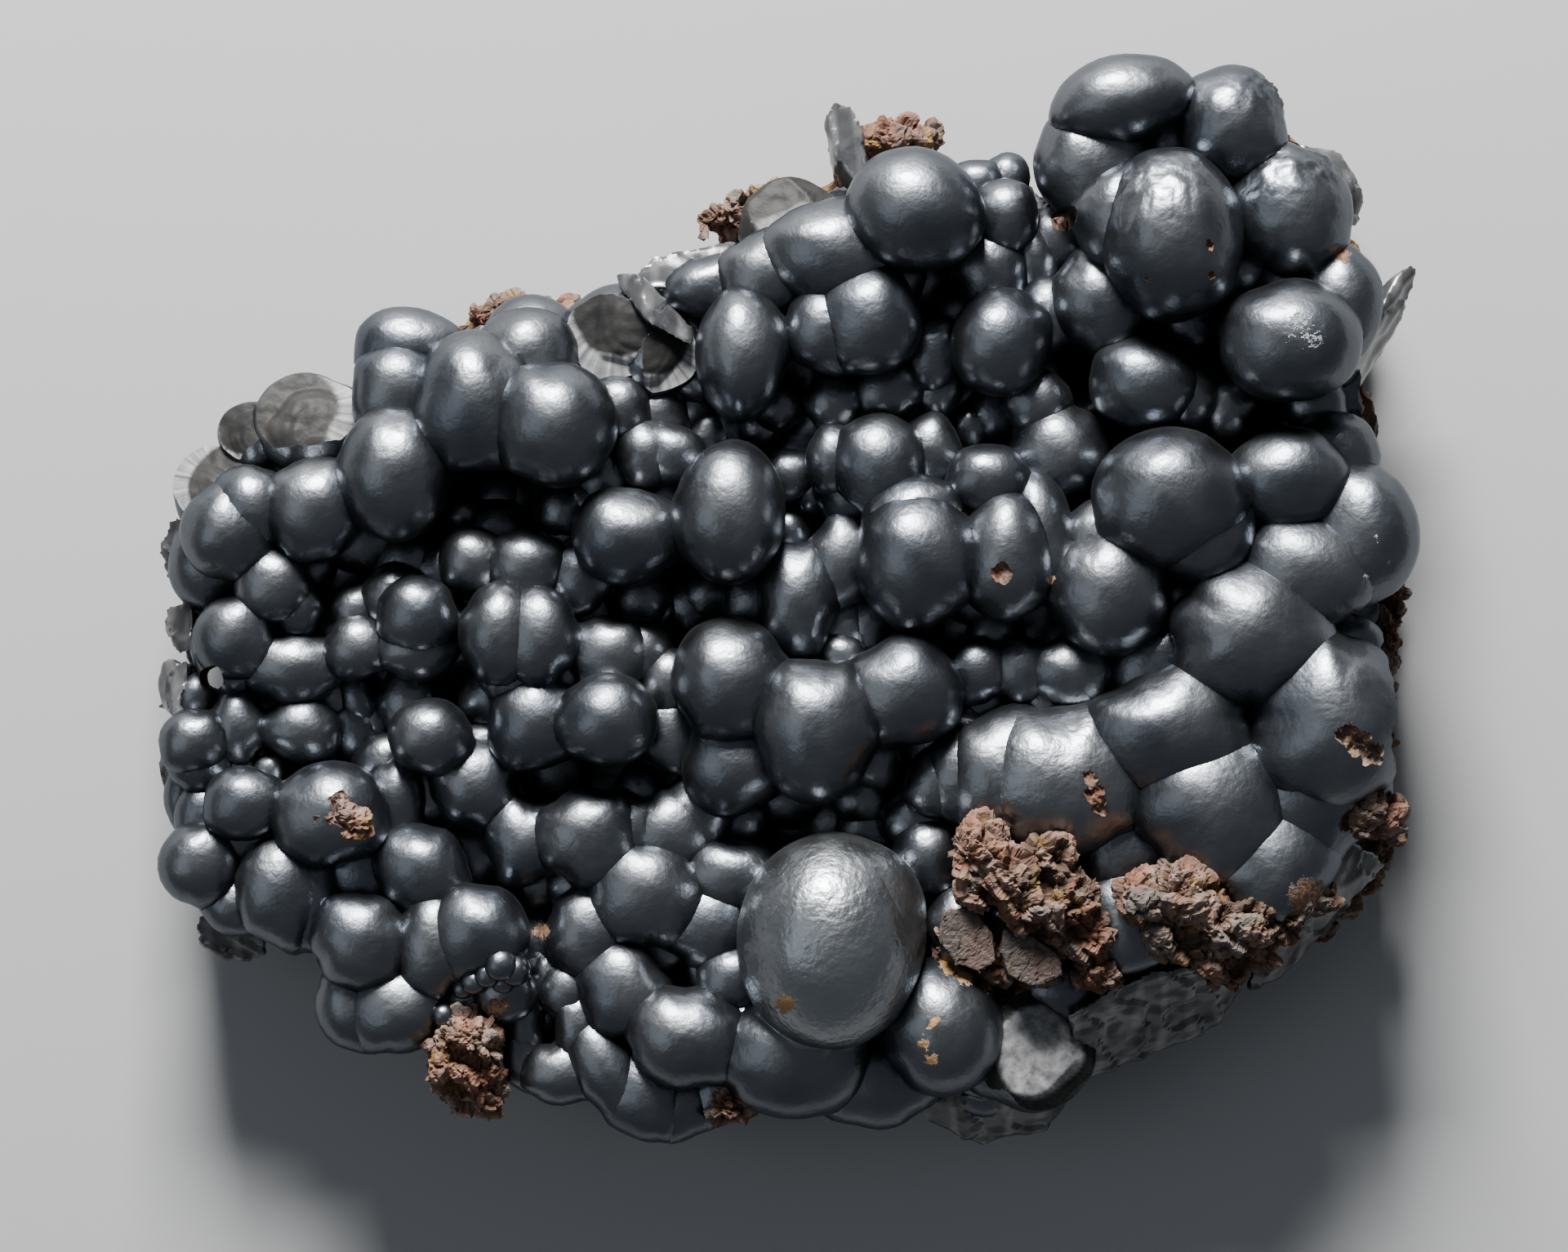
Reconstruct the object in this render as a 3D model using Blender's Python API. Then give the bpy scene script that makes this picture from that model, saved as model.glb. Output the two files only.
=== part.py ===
"""Romanechite specimen: a botryoidal crust of manganese oxide grown on brown limonite.

The specimen lies on its back. +X runs to the right of the face, +Y to its top, and +Z out of
the face; the origin is on the resting plane under the middle of the specimen. Sizes in the tables
are in millimetres, and MM turns them to metres.
"""

import math

import bmesh
import bpy
from mathutils import Matrix, Vector, noise

MM = 0.001
MATRIX_TOP = 14.0  # the limonite slab under the crust is this thick
CORE_FLOOR = 10.0  # the core starts this low, and is cut off flat a little over the slab
GAP = 0.3  # between two pieces that touch
BED_GAP = 0.45  # between a clot and its bed in the crust
ROOT_FLOOR = 15.0  # every lobe tapers down to this height, inside the core
CORE_SINK = 1.15  # how far the core stays below the lobes' middles, as a share of their radius
CORE_REACH = 8.5  # a lobe shapes the mound this far around it
BARE_RISE = 8.0  # height of the core over the slab, far from any lobe
LEAST_RISE = 3.0  # and at the bottom of the deepest hollow
RIM_DROP = 3.0  # the core's broken edge stands this much lower
WINDOW_SIDES = 8
FAR = 150.0  # further out than any part of the specimen
CREASE = 32.0  # edges sharper than this, in degrees, look sharp
SHIFT = (0.4, 0.4, 0.0)  # brings the middle of the specimen over the origin
CRUST_SHARE = 0.016  # share of the fused crust's facets that is kept
CLOT_SHARE = 0.06  # and of each clot's
FUSE_GRAIN = 0.9  # grain of the skin that fuses overlapping shapes
FINE = 3  # how finely the round shapes are faceted before they are fused

# Growth lobes of the crust: middle (x, y, z), half width, half height across the face, turn in degrees.
LOBES = {
    "left_shoulder": [
        (-98.2, 11.8, 33, 8.4, 8.4, 0), (-94.3, 16.2, 33.5, 6.2, 7.8, 0),
        (-82.8, 15.8, 35, 7.6, 9.4, 8), (-68.8, 22.0, 38, 9.3, 11.8, 14),
        (-68.5, 37.0, 33, 7.9, 7.6, 0), (-54.8, 34.8, 39, 9.8, 12.4, 6),
        (-40.0, 30.5, 43, 10.5, 11.0, 0), (-45.5, 43.0, 33, 8.3, 7.8, 0),
        (-44.6, 46.2, 29, 7.8, 7.8, 0), (-69.6, 44.0, 29, 6.8, 7.4, 0),
        (-64.6, 44.3, 29, 6.0, 6.8, 0), (-102.5, 6.0, 25, 7.0, 7.6, 0),
        (-29.0, 34.0, 33, 5.2, 5.6, 0), (-57.4, 15.6, 24, 3.2, 3.2, 0),
    ],
    "left_flank": [
        (-90.3, 2.8, 33, 6.0, 6.1, 0), (-86.0, -1.2, 31, 4.8, 4.6, 0),
        (-97.3, -6.3, 32, 6.4, 6.8, 0), (-98.0, -9.6, 27, 6.6, 7.0, 20),
        (-88.6, -11.2, 29, 6.0, 6.0, 0), (-84.2, -12.4, 28, 6.0, 5.0, 0),
        (-75.3, -8.4, 33, 5.2, 5.4, 0), (-76.0, -1.4, 31, 4.0, 4.0, 0),
        (-69.0, 1.2, 32, 5.3, 5.6, 0), (-64.6, -2.3, 36, 6.5, 6.3, 0),
        (-64.8, -8.4, 33, 6.9, 6.0, 0), (-58.2, -4.0, 29, 3.0, 3.6, 0),
        (-96.8, -22.3, 28, 4.9, 6.2, 0), (-104.7, -24.6, 31, 5.8, 5.4, 0),
        (-103.6, -28.6, 29, 5.2, 4.8, 0), (-104.6, -16.6, 26, 3.4, 3.4, 0),
        (-85.3, -22.9, 29, 7.0, 5.3, 0), (-75.6, -17.6, 25, 3.6, 5.0, 20),
        (-72.6, -21.2, 25, 3.2, 3.4, 0), (-62.6, -23.4, 36, 7.2, 6.5, 0),
        (-53.4, -25.4, 31, 3.4, 3.6, 0), (-55.0, -32.4, 31, 7.6, 7.8, -12),
    ],
    "left_foot": [
        (-95.2, -35.2, 36, 6.8, 6.3, 0), (-94.8, -40.0, 31, 6.4, 5.8, 0),
        (-91.2, -29.8, 28, 2.6, 2.6, 0), (-103.0, -37.6, 28, 4.4, 5.0, 0),
        (-107.2, -34.6, 24, 3.2, 5.2, 0), (-103.7, -46.2, 33, 6.8, 7.1, 0),
        (-79.4, -37.2, 37, 9.8, 9.2, 0), (-68.6, -35.2, 31, 4.8, 7.2, 0),
        (-63.8, -46.8, 35, 8.0, 7.2, -14), (-74.8, -47.6, 32, 5.4, 5.6, 0),
        (-89.2, -51.2, 34, 7.2, 9.2, 0), (-84.6, -51.8, 33, 5.6, 8.8, 0),
        (-97.6, -53.9, 31, 5.0, 5.0, 0), (-74.8, -59.2, 37, 7.9, 7.9, 0),
        (-61.8, -60.4, 37, 5.9, 8.0, 0), (-53.2, -58.0, 38, 8.4, 8.0, 0),
        (-76.6, -71.6, 33, 6.2, 7.4, 22), (-68.0, -72.0, 34, 8.4, 7.4, 0),
    ],
    "small_pearls": [
        (-49.8, -63.4, 43.5, 2.6, 2.6, 0), (-47.4, -64.6, 42, 2.6, 2.6, 0),
        (-52.2, -65.3, 42.5, 2.0, 2.0, 0), (-54.6, -66.5, 41, 2.2, 2.2, 0),
        (-56.6, -67.8, 39, 1.8, 1.8, 0), (-49.4, -66.6, 41, 2.0, 2.0, 0),
        (-60.0, -72.4, 39, 1.8, 1.8, 0),
    ],
    "lower_edge": [
        (-42.4, -66.6, 31, 3.0, 4.7, 0), (-36.8, -74.4, 33, 3.9, 5.8, 14),
        (-31.6, -82.2, 33, 5.0, 9.2, 30), (-25.0, -87.4, 33, 6.4, 7.8, 24),
        (-46.6, -74.0, 29, 4.0, 5.6, 0), (-47.4, -80.4, 29, 4.0, 5.4, 12),
        (-39.6, -83.2, 31, 6.6, 5.7, 0), (-17.8, -76.4, 38, 9.3, 8.9, 0),
        (-28.6, -68.2, 35, 7.2, 7.5, 0), (-35.4, -58.4, 33, 6.8, 7.9, 0),
        (-39.4, -62.0, 31, 3.5, 4.8, 20), (-18.4, -89.0, 33, 5.0, 5.6, 0),
        (-12.2, -87.0, 33, 4.4, 5.4, 0), (1.6, -79.8, 36, 12.6, 11.2, 0),
        (-7.6, -77.6, 34, 6.0, 8.6, 0), (15.6, -84.8, 32, 9.2, 8.0, -18),
    ],
    "lower_middle": [
        (-13.8, -57.4, 33, 7.5, 7.2, 0), (-24.6, -51.6, 35, 8.8, 8.4, 0),
        (-9.4, -48.0, 34, 7.4, 5.7, 0), (-17.0, -50.0, 33, 6.0, 4.8, 0),
        (-20.8, -41.0, 33, 6.6, 6.2, 0), (-35.0, -41.0, 35, 8.2, 8.4, 0),
        (-29.0, -40.2, 34, 5.6, 6.0, 0), (-46.8, -42.6, 32, 6.2, 7.3, 0),
        (-44.0, -50.0, 28, 4.2, 3.8, 0), (-16.4, -37.6, 32, 6.2, 6.0, -30),
        (-8.4, -38.6, 28, 5.4, 4.0, 0), (-9.9, -29.2, 37, 8.2, 8.4, 0),
        (-36.2, -50.2, 30, 5.4, 4.0, 0),
    ],
    "middle": [
        (-10.6, -13.4, 41, 9.8, 10.6, 0), (-20.8, -14.4, 35, 4.2, 5.2, 0),
        (-20.4, -23.4, 33, 5.4, 6.8, 0), (-31.2, -9.2, 35, 6.7, 6.5, 0),
        (-25.2, -8.8, 34, 4.6, 5.4, 0), (-31.2, -20.9, 41, 8.7, 8.2, 0),
        (-44.4, -21.6, 35, 7.9, 8.2, 0), (-47.6, -13.4, 35, 5.8, 4.9, 0),
        (-50.6, -5.9, 38, 6.5, 8.3, 0), (-43.2, -6.2, 38, 6.4, 7.8, 0),
        (-55.5, 7.2, 33, 5.7, 5.8, 0), (-45.4, 6.4, 35, 6.2, 6.3, 0),
        (-36.2, 4.0, 34, 5.4, 6.3, 0), (-28.4, 11.1, 40, 9.2, 8.8, 0),
        (-10.0, 15.2, 43, 9.7, 12.8, 0), (-25.0, 25.5, 34, 4.7, 5.5, 0),
        (-20.0, 25.8, 34, 5.1, 5.0, 0), (-22.0, -1.8, 26, 3.0, 3.0, 0),
        (-4.4, 30.4, 27, 3.4, 3.4, 0), (5.2, -22.8, 44, 10.2, 12.8, 0),
        (20.6, -15.8, 42, 10.2, 9.4, -8), (9.6, -9.4, 35, 3.6, 3.4, 0),
        (2.0, 0.0, 36, 6.8, 9.5, 0), (0.4, 12.0, 29, 3.4, 3.6, 0),
        (9.4, 7.0, 35, 5.6, 7.8, 0),
    ],
    "upper_middle": [
        (-8.0, 42.8, 39, 8.2, 11.4, 0), (-14.6, 55.2, 31, 8.2, 5.2, 14),
        (-1.6, 58.4, 34, 6.2, 6.8, 0), (8.4, 60.8, 37, 9.9, 8.8, -8),
        (22.2, 68.0, 43, 12.4, 10.6, -22), (38.2, 67.6, 35, 5.4, 6.2, 0),
        (33.4, 73.4, 29, 4.4, 4.2, 0), (38.8, 74.6, 27, 3.6, 4.6, 0),
        (35.4, 58.0, 33, 6.4, 6.6, 0), (43.4, 60.4, 31, 4.2, 6.4, 0),
        (6.6, 46.8, 39, 6.6, 7.4, 10), (14.8, 48.2, 40, 8.7, 9.2, 0),
        (25.6, 43.6, 33, 4.7, 6.8, 0), (26.4, 37.6, 31, 4.2, 5.4, 0),
        (37.2, 45.0, 38, 8.7, 9.8, -16), (45.6, 50.0, 34, 5.0, 6.2, 0),
        (7.8, 34.6, 34, 5.1, 4.7, 0), (17.6, 36.6, 33, 6.0, 5.0, 14),
        (32.8, 30.8, 27, 4.0, 4.0, 0), (44.0, 34.8, 34, 5.9, 4.9, 26),
        (47.4, 26.0, 33, 8.6, 7.8, 16), (7.8, 24.6, 37, 4.8, 5.6, 0),
        (15.8, 24.0, 38, 8.0, 8.7, 0), (25.4, 26.4, 35, 4.8, 6.2, 0),
        (12.0, 18.4, 34, 7.0, 4.6, 0), (4.2, 18.6, 30, 2.8, 3.4, 0),
        (34.8, 21.4, 41, 6.8, 5.9, 0), (21.8, 15.0, 42, 8.0, 5.8, 20),
        (22.6, 7.0, 42, 10.7, 11.8, 0), (38.4, 7.4, 42, 7.4, 11.4, 0),
        (43.8, 11.4, 38, 6.2, 11.0, 8),
    ],
    "upper_right": [
        (54.6, 52.4, 36, 8.2, 9.2, 20), (67.0, 63.4, 44, 12.4, 15.2, 0),
        (59.4, 67.0, 42, 9.6, 8.6, 20), (53.0, 76.0, 37, 9.9, 9.6, 0),
        (58.0, 87.4, 41, 11.9, 7.6, 12), (77.6, 83.6, 39, 9.2, 9.7, 0),
        (88.2, 68.2, 38, 10.4, 11.0, 14), (87.6, 44.8, 44, 12.6, 10.7, 8),
        (96.6, 52.0, 37, 7.4, 9.4, -10), (70.6, 49.0, 30, 5.4, 5.6, 0),
        (62.0, 37.8, 39, 9.4, 7.5, 0), (69.6, 36.4, 37, 4.8, 6.2, 0),
        (77.2, 34.0, 33, 4.9, 5.6, 0), (53.8, 11.2, 39, 5.2, 5.8, -16),
        (55.8, 1.0, 40, 10.1, 10.9, 0), (66.4, 18.0, 43, 13.2, 12.2, 0),
        (71.8, 12.6, 42.6, 8.6, 8.8, 0), (87.2, 21.4, 40, 9.7, 8.9, 0),
        (96.4, 26.4, 35, 6.9, 6.7, 0), (101.0, 12.0, 37, 9.4, 12.2, 10),
        (90.2, 5.0, 40, 11.0, 8.8, -14),
    ],
    "right_flank": [
        (80.0, -5.8, 41, 12.8, 11.6, 0), (64.0, -10.6, 36, 7.2, 5.4, 32),
        (33.0, -12.0, 36, 5.2, 5.9, 0), (40.6, -12.0, 36, 4.4, 5.8, 0),
        (49.4, -12.6, 36, 7.0, 5.4, -10), (26.2, -31.8, 38, 5.7, 5.6, 0),
        (30.8, -30.8, 38, 6.6, 7.4, 0), (37.4, -30.6, 38, 9.4, 10.6, 0),
        (49.6, -31.4, 37, 12.8, 13.4, 0), (22.4, -38.2, 33, 6.6, 5.0, 0),
        (24.8, -45.2, 36, 5.6, 6.0, 0), (8.4, -58.6, 44, 16.0, 17.8, 0),
        (10.4, -54.2, 45, 14.4, 13.4, 0), (30.6, -56.8, 37, 5.9, 6.6, 0),
        (28.8, -75.0, 38, 11.8, 11.8, 0), (66.6, -22.4, 40, 12.8, 10.2, 0),
        (60.6, -31.6, 36, 6.4, 8.4, 10), (73.6, -36.4, 39, 12.2, 12.4, 0),
        (96.0, -19.4, 39, 13.0, 13.4, -24), (92.0, -31.0, 38, 12.0, 14.0, 0),
        (84.2, -47.2, 38, 10.4, 11.2, 0), (98.4, -7.4, 33, 5.6, 4.6, 0),
        (59.4, -56.6, 36, 9.4, 10.0, 0), (68.0, -67.0, 33, 9.0, 6.0, 14),
        (48.0, -70.0, 33, 9.0, 8.0, 0),
    ],
}

# Lobes that were broken open: a lobe, then a point of the break and the way that the break faces.
BROKEN_LOBES = [
    ((-84.8, 31.6, 27, 9.6, 8.4, 0), (-84.8, 31.6, 31.0), (0.05, 0.25, 1.0)),
    ((-94.4, 29.4, 26, 5.6, 5.6, 0), (-94.4, 29.4, 29.4), (-0.2, 0.2, 1.0)),
    ((-101.6, 20.0, 26, 7.0, 7.2, 0), (-101.6, 20.0, 28.6), (-0.35, 0.3, 1.0)),
    ((-29.8, 47.2, 31, 8.4, 8.4, 0), (-29.8, 47.2, 34.6), (-0.05, 0.2, 1.0)),
    ((-22.4, 43.4, 31, 6.8, 7.8, 0), (-22.4, 43.4, 35.4), (0.15, 0.1, 1.0)),
    ((0.6, 66.4, 30, 8.6, 8.0, 0), (0.6, 66.4, 33.0), (-0.15, 0.45, 1.0)),
    ((43.4, -79.6, 32, 10.6, 10.2, 0), (43.4, -79.6, 38.4), (0.35, -0.35, 1.0)),
]

# Splinters and wedges of the crust where it was broken off: the corners of each.
SPLINTERS = {
    "top_lump": [
        (6.6, 85.5, 21), (8.2, 88.4, 22), (11.2, 88, 24), (13.2, 83.4, 25), (13.0, 79, 24), (8.6, 78.4, 23),
        (7, 80, 19), (10, 70, 15), (15, 70, 22), (16, 72, 15), (9.6, 86, 17),
    ],
    "blade": [
        (98, 36, 26), (98, 41, 36), (104, 55, 27), (108, 58, 29), (111.5, 59.6, 27),
        (110, 53, 24), (107, 47, 22), (103.5, 42, 20), (101, 36, 21), (100, 50, 20),
    ],
    "left_plate_high": [
        (-111.5, 9, 22), (-109.4, 14.6, 25), (-105, 15, 28), (-104, 3, 24), (-109.5, 3, 20), (-105, 9, 16),
    ],
    "left_plate_middle": [
        (-110.2, -1, 24), (-105, 0.5, 27), (-104.8, -9, 29), (-107.5, -9.5, 26), (-110.4, -6, 20),
        (-104, -5, 16),
    ],
    "left_plate_low": [
        (-110.6, -10.5, 25), (-105.4, -10.5, 29), (-107.4, -20.5, 30), (-111.6, -16, 23), (-111.4, -19, 20),
        (-103, -15, 16), (-104, -21, 17),
    ],
    "left_plate_foot": [
        (-111.2, -24.5, 25), (-110.6, -30.4, 25), (-109.8, -36, 21), (-107.6, -40, 20), (-103, -31, 30),
        (-103, -36, 16), (-104, -24, 17),
    ],
    "left_toe": [
        (-105.2, -57.4, 23), (-102.2, -53.8, 26), (-92, -58, 27), (-92.5, -63.4, 23), (-100, -64.2, 21),
        (-104.2, -61.6, 20), (-94, -56, 15), (-98, -60, 15),
    ],
    "curled_flake": [
        (-30.5, 57.6, 36), (-29.0, 54.4, 37), (-24, 48, 40.5), (-16.0, 44.0, 38), (-16.6, 47.8, 36),
        (-20, 51, 38),
        (-25.8, 57.0, 38.5), (-24, 50, 28), (-19, 46.6, 30),
    ],
    "broken_lip": [
        (-27, 57, 34), (-24.4, 60.2, 33), (-13, 60.4, 30), (-9, 63.6, 29), (-10, 56, 33), (-24, 54, 34),
        (-18, 54, 22),
    ],
    "foot_facet": [
        (34, -86, 36), (38, -79, 41), (49, -75, 39), (48.6, -84, 36), (43, -86, 35), (24, -91.5, 28),
        (34, -96, 24), (46, -93.4, 24), (52, -86, 27), (30, -84, 30), (40, -84, 18),
    ],
    "foot_ledge": [
        (48, -74, 38), (55, -70, 38), (70, -65.4, 37), (80, -64.6, 34), (80.4, -68, 30), (76, -75.4, 26),
        (66, -79.6, 24), (54, -82, 25), (50, -86.4, 25), (50, -74, 18), (72, -70, 17),
    ],
    "right_heel": [
        (94, -40, 34), (100, -43, 32), (106.4, -46, 26), (100.4, -50, 25), (98, -55, 25), (92, -62, 24),
        (87, -67.4, 23), (81, -69.4, 23), (84, -60, 32), (90, -54, 34), (90, -50, 17), (84, -66, 17),
    ],
    "right_rim": [
        (97, 79.4, 27), (100.4, 73.8, 29), (102, 70, 26), (100.8, 66, 26), (94, 66, 33), (90, 80.4, 29),
        (92, 74, 18),
    ],
}

# The broken edge of the crust under the lobes, anticlockwise from the right.
CORE_OUTLINE = [
    (103.5, -10), (105.0, 6), (103.5, 22), (101.5, 34), (101, 46), (98, 60), (96.5, 72), (87, 84),
    (78, 90), (64, 92), (51, 87), (46, 78), (47.5, 70.5), (41, 74), (32, 76), (22, 76), (10, 73), (-1, 70),
    (-9, 60), (-20, 57), (-30, 54), (-37, 47), (-46, 51), (-58, 48), (-70, 48), (-75, 40), (-82, 36),
    (-94, 31), (-104, 23), (-106, 12), (-106, 2), (-107, -6), (-107, -18), (-108, -28), (-107, -38),
    (-103, -50), (-97, -58), (-86, -58), (-80, -68), (-72, -77), (-60, -78), (-48, -84), (-38, -86),
    (-28, -92), (-16, -92), (-4, -88), (10, -90), (24, -90), (34, -93), (46, -90), (54, -82), (66, -77),
    (78, -69), (90, -61), (99, -50), (104, -40), (105.5, -26),
]
CORE_MIDDLE = (12.0, -6.0)
CORE_RINGS = (1.0, 0.93, 0.8, 0.64, 0.46, 0.24)

# Deep dark hollows between the lobes: middle, radius and how far each goes down.
HOLLOWS = [
    (-51, 17, 8, 8), (-14, 33, 8, 8), (-18, 19, 4, 6), (-20, -1, 6, 7), (-57, -16, 5, 6), (-40, -31, 9, 7),
    (4, -40, 8, 8), (-14, -65, 6, 6), (49, 42, 6, 8), (57, 28, 4, 6), (72, 45, 6, 8), (2, 14, 5, 6),
    (26, 53, 5, 6), (83, 33, 6, 6), (-82, 4, 5, 6), (-86, -29, 5, 5), (20, -33, 5, 5), (-53, -45, 5, 5),
    (-75, 6, 6, 6), (30, -3, 8, 5),
]

# Gaps in the crust's edge that the light shines through: middle and radius.
WINDOWS = [(-101.0, -13.8, 2.2), (48.4, 66.4, 2.0)]

# The limonite slab at the back, anticlockwise from the right.
MATRIX_OUTLINE = [
    (109, -10), (108, -2), (109.5, 6), (106, 14), (104, 24), (105, 29), (102, 36), (101, 46), (104.5, 56),
    (103, 61), (99, 66), (102, 72), (95, 80), (88, 84), (80, 86), (66, 88), (54, 84), (51, 76), (51, 63),
    (46, 63), (44, 69), (38, 72), (29, 76), (26.8, 79), (25, 84.5), (13, 84), (10, 76), (1, 73),
    (-12.6, 69), (-10, 64.5),
    (-20, 55), (-34, 49), (-40, 53), (-47, 54.4), (-55, 51), (-66, 44), (-76, 36), (-92, 29), (-100, 20),
    (-102, 6), (-98, -8), (-96, -20), (-103, -28), (-103, -40), (-94, -50), (-88, -56), (-78, -62),
    (-74, -72), (-62, -77), (-50, -82), (-38, -84), (-27, -90), (-12, -90), (6, -86), (24, -88), (40, -90),
    (52, -80), (68, -73), (84, -66), (94, -58), (100, -49), (106.5, -46), (107, -36), (105.5, -24),
]
MATRIX_BULGE = 2.6  # how far the slab's broken sides wander
MATRIX_TAPER = (0.1, 0.06, 0.025, 0.0, 0.0)  # how far its sides draw in, from the back to the crust

# Crumbly limonite. Each clot is fused from lumps: middle (x, y, z) and radius.
CLOTS = {
    "limonite_clot_middle": [
        (34, -43, 47, 5.6), (38.6, -47.6, 48, 5.4), (45, -45, 47, 5.2), (41, -52.6, 47, 5.0),
        (49, -52.4, 46, 5.6), (52.6, -57.6, 44, 5.0), (54, -64.4, 41, 4.6), (47, -59.4, 44, 4.4),
        (33.4, -49.6, 45, 4.4), (42, -61.4, 41.6, 6.2), (30.0, -58.4, 41.6, 5.0), (35.6, -61.6, 40.6, 4.2),
    ],
    "limonite_clot_right": [
        (62, -52, 45, 5.4), (68.4, -50.4, 46, 5.4), (66, -57.2, 43.5, 4.8), (73.6, -55.4, 44, 5.4),
        (80.2, -55.6, 43, 5.4), (86.6, -54.6, 41, 5.0), (91.6, -51.4, 38, 4.4), (74.6, -61, 40, 5.0),
        (81.6, -60.2, 38.6, 4.6), (77, -65, 37, 3.8), (70.6, -59.4, 42, 4.4),
    ],
    "limonite_clot_lower": [
        (-57.2, -75.8, 38, 4.0), (-53.4, -76.8, 38.5, 4.2), (-58.4, -81.2, 36, 4.4),
        (-53.4, -82.4, 36, 4.4),
        (-52.4, -86.2, 34, 3.8), (-61, -76.6, 36, 2.8), (-56.8, -86, 33, 3.6),
    ],
    "limonite_plug": [(-77.2, -36.4, 45.0, 2.8), (-78.4, -37.4, 44.6, 2.4), (-75.0, -38.2, 44.6, 2.6)],
    "limonite_patch_right": [(101.4, -35.6, 44.6, 3.6), (99.4, -38.4, 44.4, 3.2),
    (103.4, -37.6, 40.6, 4.0)],
    "limonite_patch_foot": [(-10.6, -88.6, 37, 3.2), (-8.4, -88.2, 35.5, 3.2)],
}
ROUGHNESS = 0.16  # how far a lump's skin wanders, as a share of its radius

# Colour, roughness and metallic value of each stone.
ROMANECHITE = (0.045, 0.05, 0.06), 0.34, 0.85
MATRIX_BROWN = (0.13, 0.075, 0.045), 0.9, 0.0
CLOT_BROWN = (0.18, 0.105, 0.065), 0.9, 0.0


def clear_scene():
    for old in list(bpy.data.objects):
        bpy.data.objects.remove(old)


def material(name, colour, roughness, metallic):
    made = bpy.data.materials.new(name)
    made.use_nodes = True
    shader = made.node_tree.nodes["Principled BSDF"]
    shader.inputs["Base Color"].default_value = (*colour, 1.0)
    shader.inputs["Roughness"].default_value = roughness
    shader.inputs["Metallic"].default_value = metallic
    return made


def mesh_object(name, form):
    """A scene object that holds the bmesh, which is in millimetres."""
    bmesh.ops.translate(form, vec=SHIFT, verts=form.verts)
    bmesh.ops.scale(form, vec=(MM, MM, MM), verts=form.verts)
    mesh = bpy.data.meshes.new(name)
    form.to_mesh(mesh)
    form.free()
    made = bpy.data.objects.new(name, mesh)
    bpy.context.scene.collection.objects.link(made)
    return made


def ball(form, centre, radii, turn, detail):
    """Adds an ellipsoid to the bmesh and returns its vertices."""
    place = Matrix.Translation(centre) @ Matrix.Rotation(math.radians(turn), 4, "Z")
    made = bmesh.ops.create_icosphere(form, subdivisions=detail, radius=1.0)
    bmesh.ops.transform(form, matrix=place @ Matrix.Diagonal((*radii, 1.0)), verts=made["verts"])
    return made["verts"]


def lobe_radii(lobe):
    wide, high = lobe[3], lobe[4]
    return wide, high, (wide + high) / 2


def rooted_ball(form, lobe, detail):
    """A lobe: a round head on a root that tapers down into the core."""
    radii = lobe_radii(lobe)
    middle = lobe[2]
    stretch = max(1.0, (middle - ROOT_FLOOR) / radii[2])
    for vert in ball(form, lobe[:3], radii, lobe[5], detail):
        if vert.co.z < middle:
            vert.co.z = middle - (middle - vert.co.z) * stretch


def broken_ball(lobe, point, facing):
    """A bmesh with a lobe that has a flat break across it."""
    form = bmesh.new()
    rooted_ball(form, lobe, FINE)
    parts = form.verts[:] + form.edges[:] + form.faces[:]
    cut = bmesh.ops.bisect_plane(form, geom=parts, plane_co=point, plane_no=facing, clear_outer=True)
    rim = [item for item in cut["geom_cut"] if isinstance(item, bmesh.types.BMEdge)]
    bmesh.ops.contextual_create(form, geom=rim)
    return form


def splinter(corners):
    """A bmesh with the sharp block that has these corners."""
    form = bmesh.new()
    for corner in corners:
        form.verts.new(corner)
    hull = bmesh.ops.convex_hull(form, input=form.verts[:])
    inside = [item for item in hull["geom_interior"] if isinstance(item, bmesh.types.BMVert)]
    bmesh.ops.delete(form, geom=inside, context="VERTS")
    bmesh.ops.recalc_face_normals(form, faces=form.faces[:])
    return form


def add_form(form, other):
    """Moves the shapes of another bmesh into this one."""
    copies = {vert: form.verts.new(vert.co) for vert in other.verts}
    for face in other.faces:
        form.faces.new([copies[vert] for vert in face.verts])
    other.free()


def all_lobes():
    return [lobe for group in LOBES.values() for lobe in group]


def mound_height(x, y):
    """Height of the core at a place: just under the middles of the lobes around it."""
    total = weight = 0.0
    for lobe in all_lobes():
        away = math.hypot(x - lobe[0], y - lobe[1])
        near = math.exp(-((away / CORE_REACH) ** 2))
        total += near * (lobe[2] - CORE_SINK * lobe_radii(lobe)[2])
        weight += near
    height = total / weight if weight > 1e-3 else MATRIX_TOP + BARE_RISE
    for hx, hy, reach, depth in HOLLOWS:
        height -= depth * math.exp(-((math.hypot(x - hx, y - hy) / reach) ** 2))
    return max(height, MATRIX_TOP + LEAST_RISE)


def add_core(form):
    """The solid crust that the lobes grew from: rings of points inside its broken edge."""
    cx, cy = CORE_MIDDLE
    rings = []
    rings.append([form.verts.new((x, y, CORE_FLOOR)) for x, y in CORE_OUTLINE])
    for share in CORE_RINGS:
        ring = []
        for x, y in CORE_OUTLINE:
            px, py = cx + (x - cx) * share, cy + (y - cy) * share
            drop = RIM_DROP if share == 1.0 else 0.0
            ring.append(form.verts.new((px, py, mound_height(px, py) - drop)))
        rings.append(ring)
    count = len(CORE_OUTLINE)
    for lower, upper in zip(rings, rings[1:]):
        for i in range(count):
            j = (i + 1) % count
            form.faces.new((lower[i], lower[j], upper[j], upper[i]))
    form.faces.new(list(reversed(rings[0])))
    top = form.verts.new((cx, cy, mound_height(cx, cy)))
    for i in range(count):
        form.faces.new((rings[-1][i], rings[-1][(i + 1) % count], top))


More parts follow.
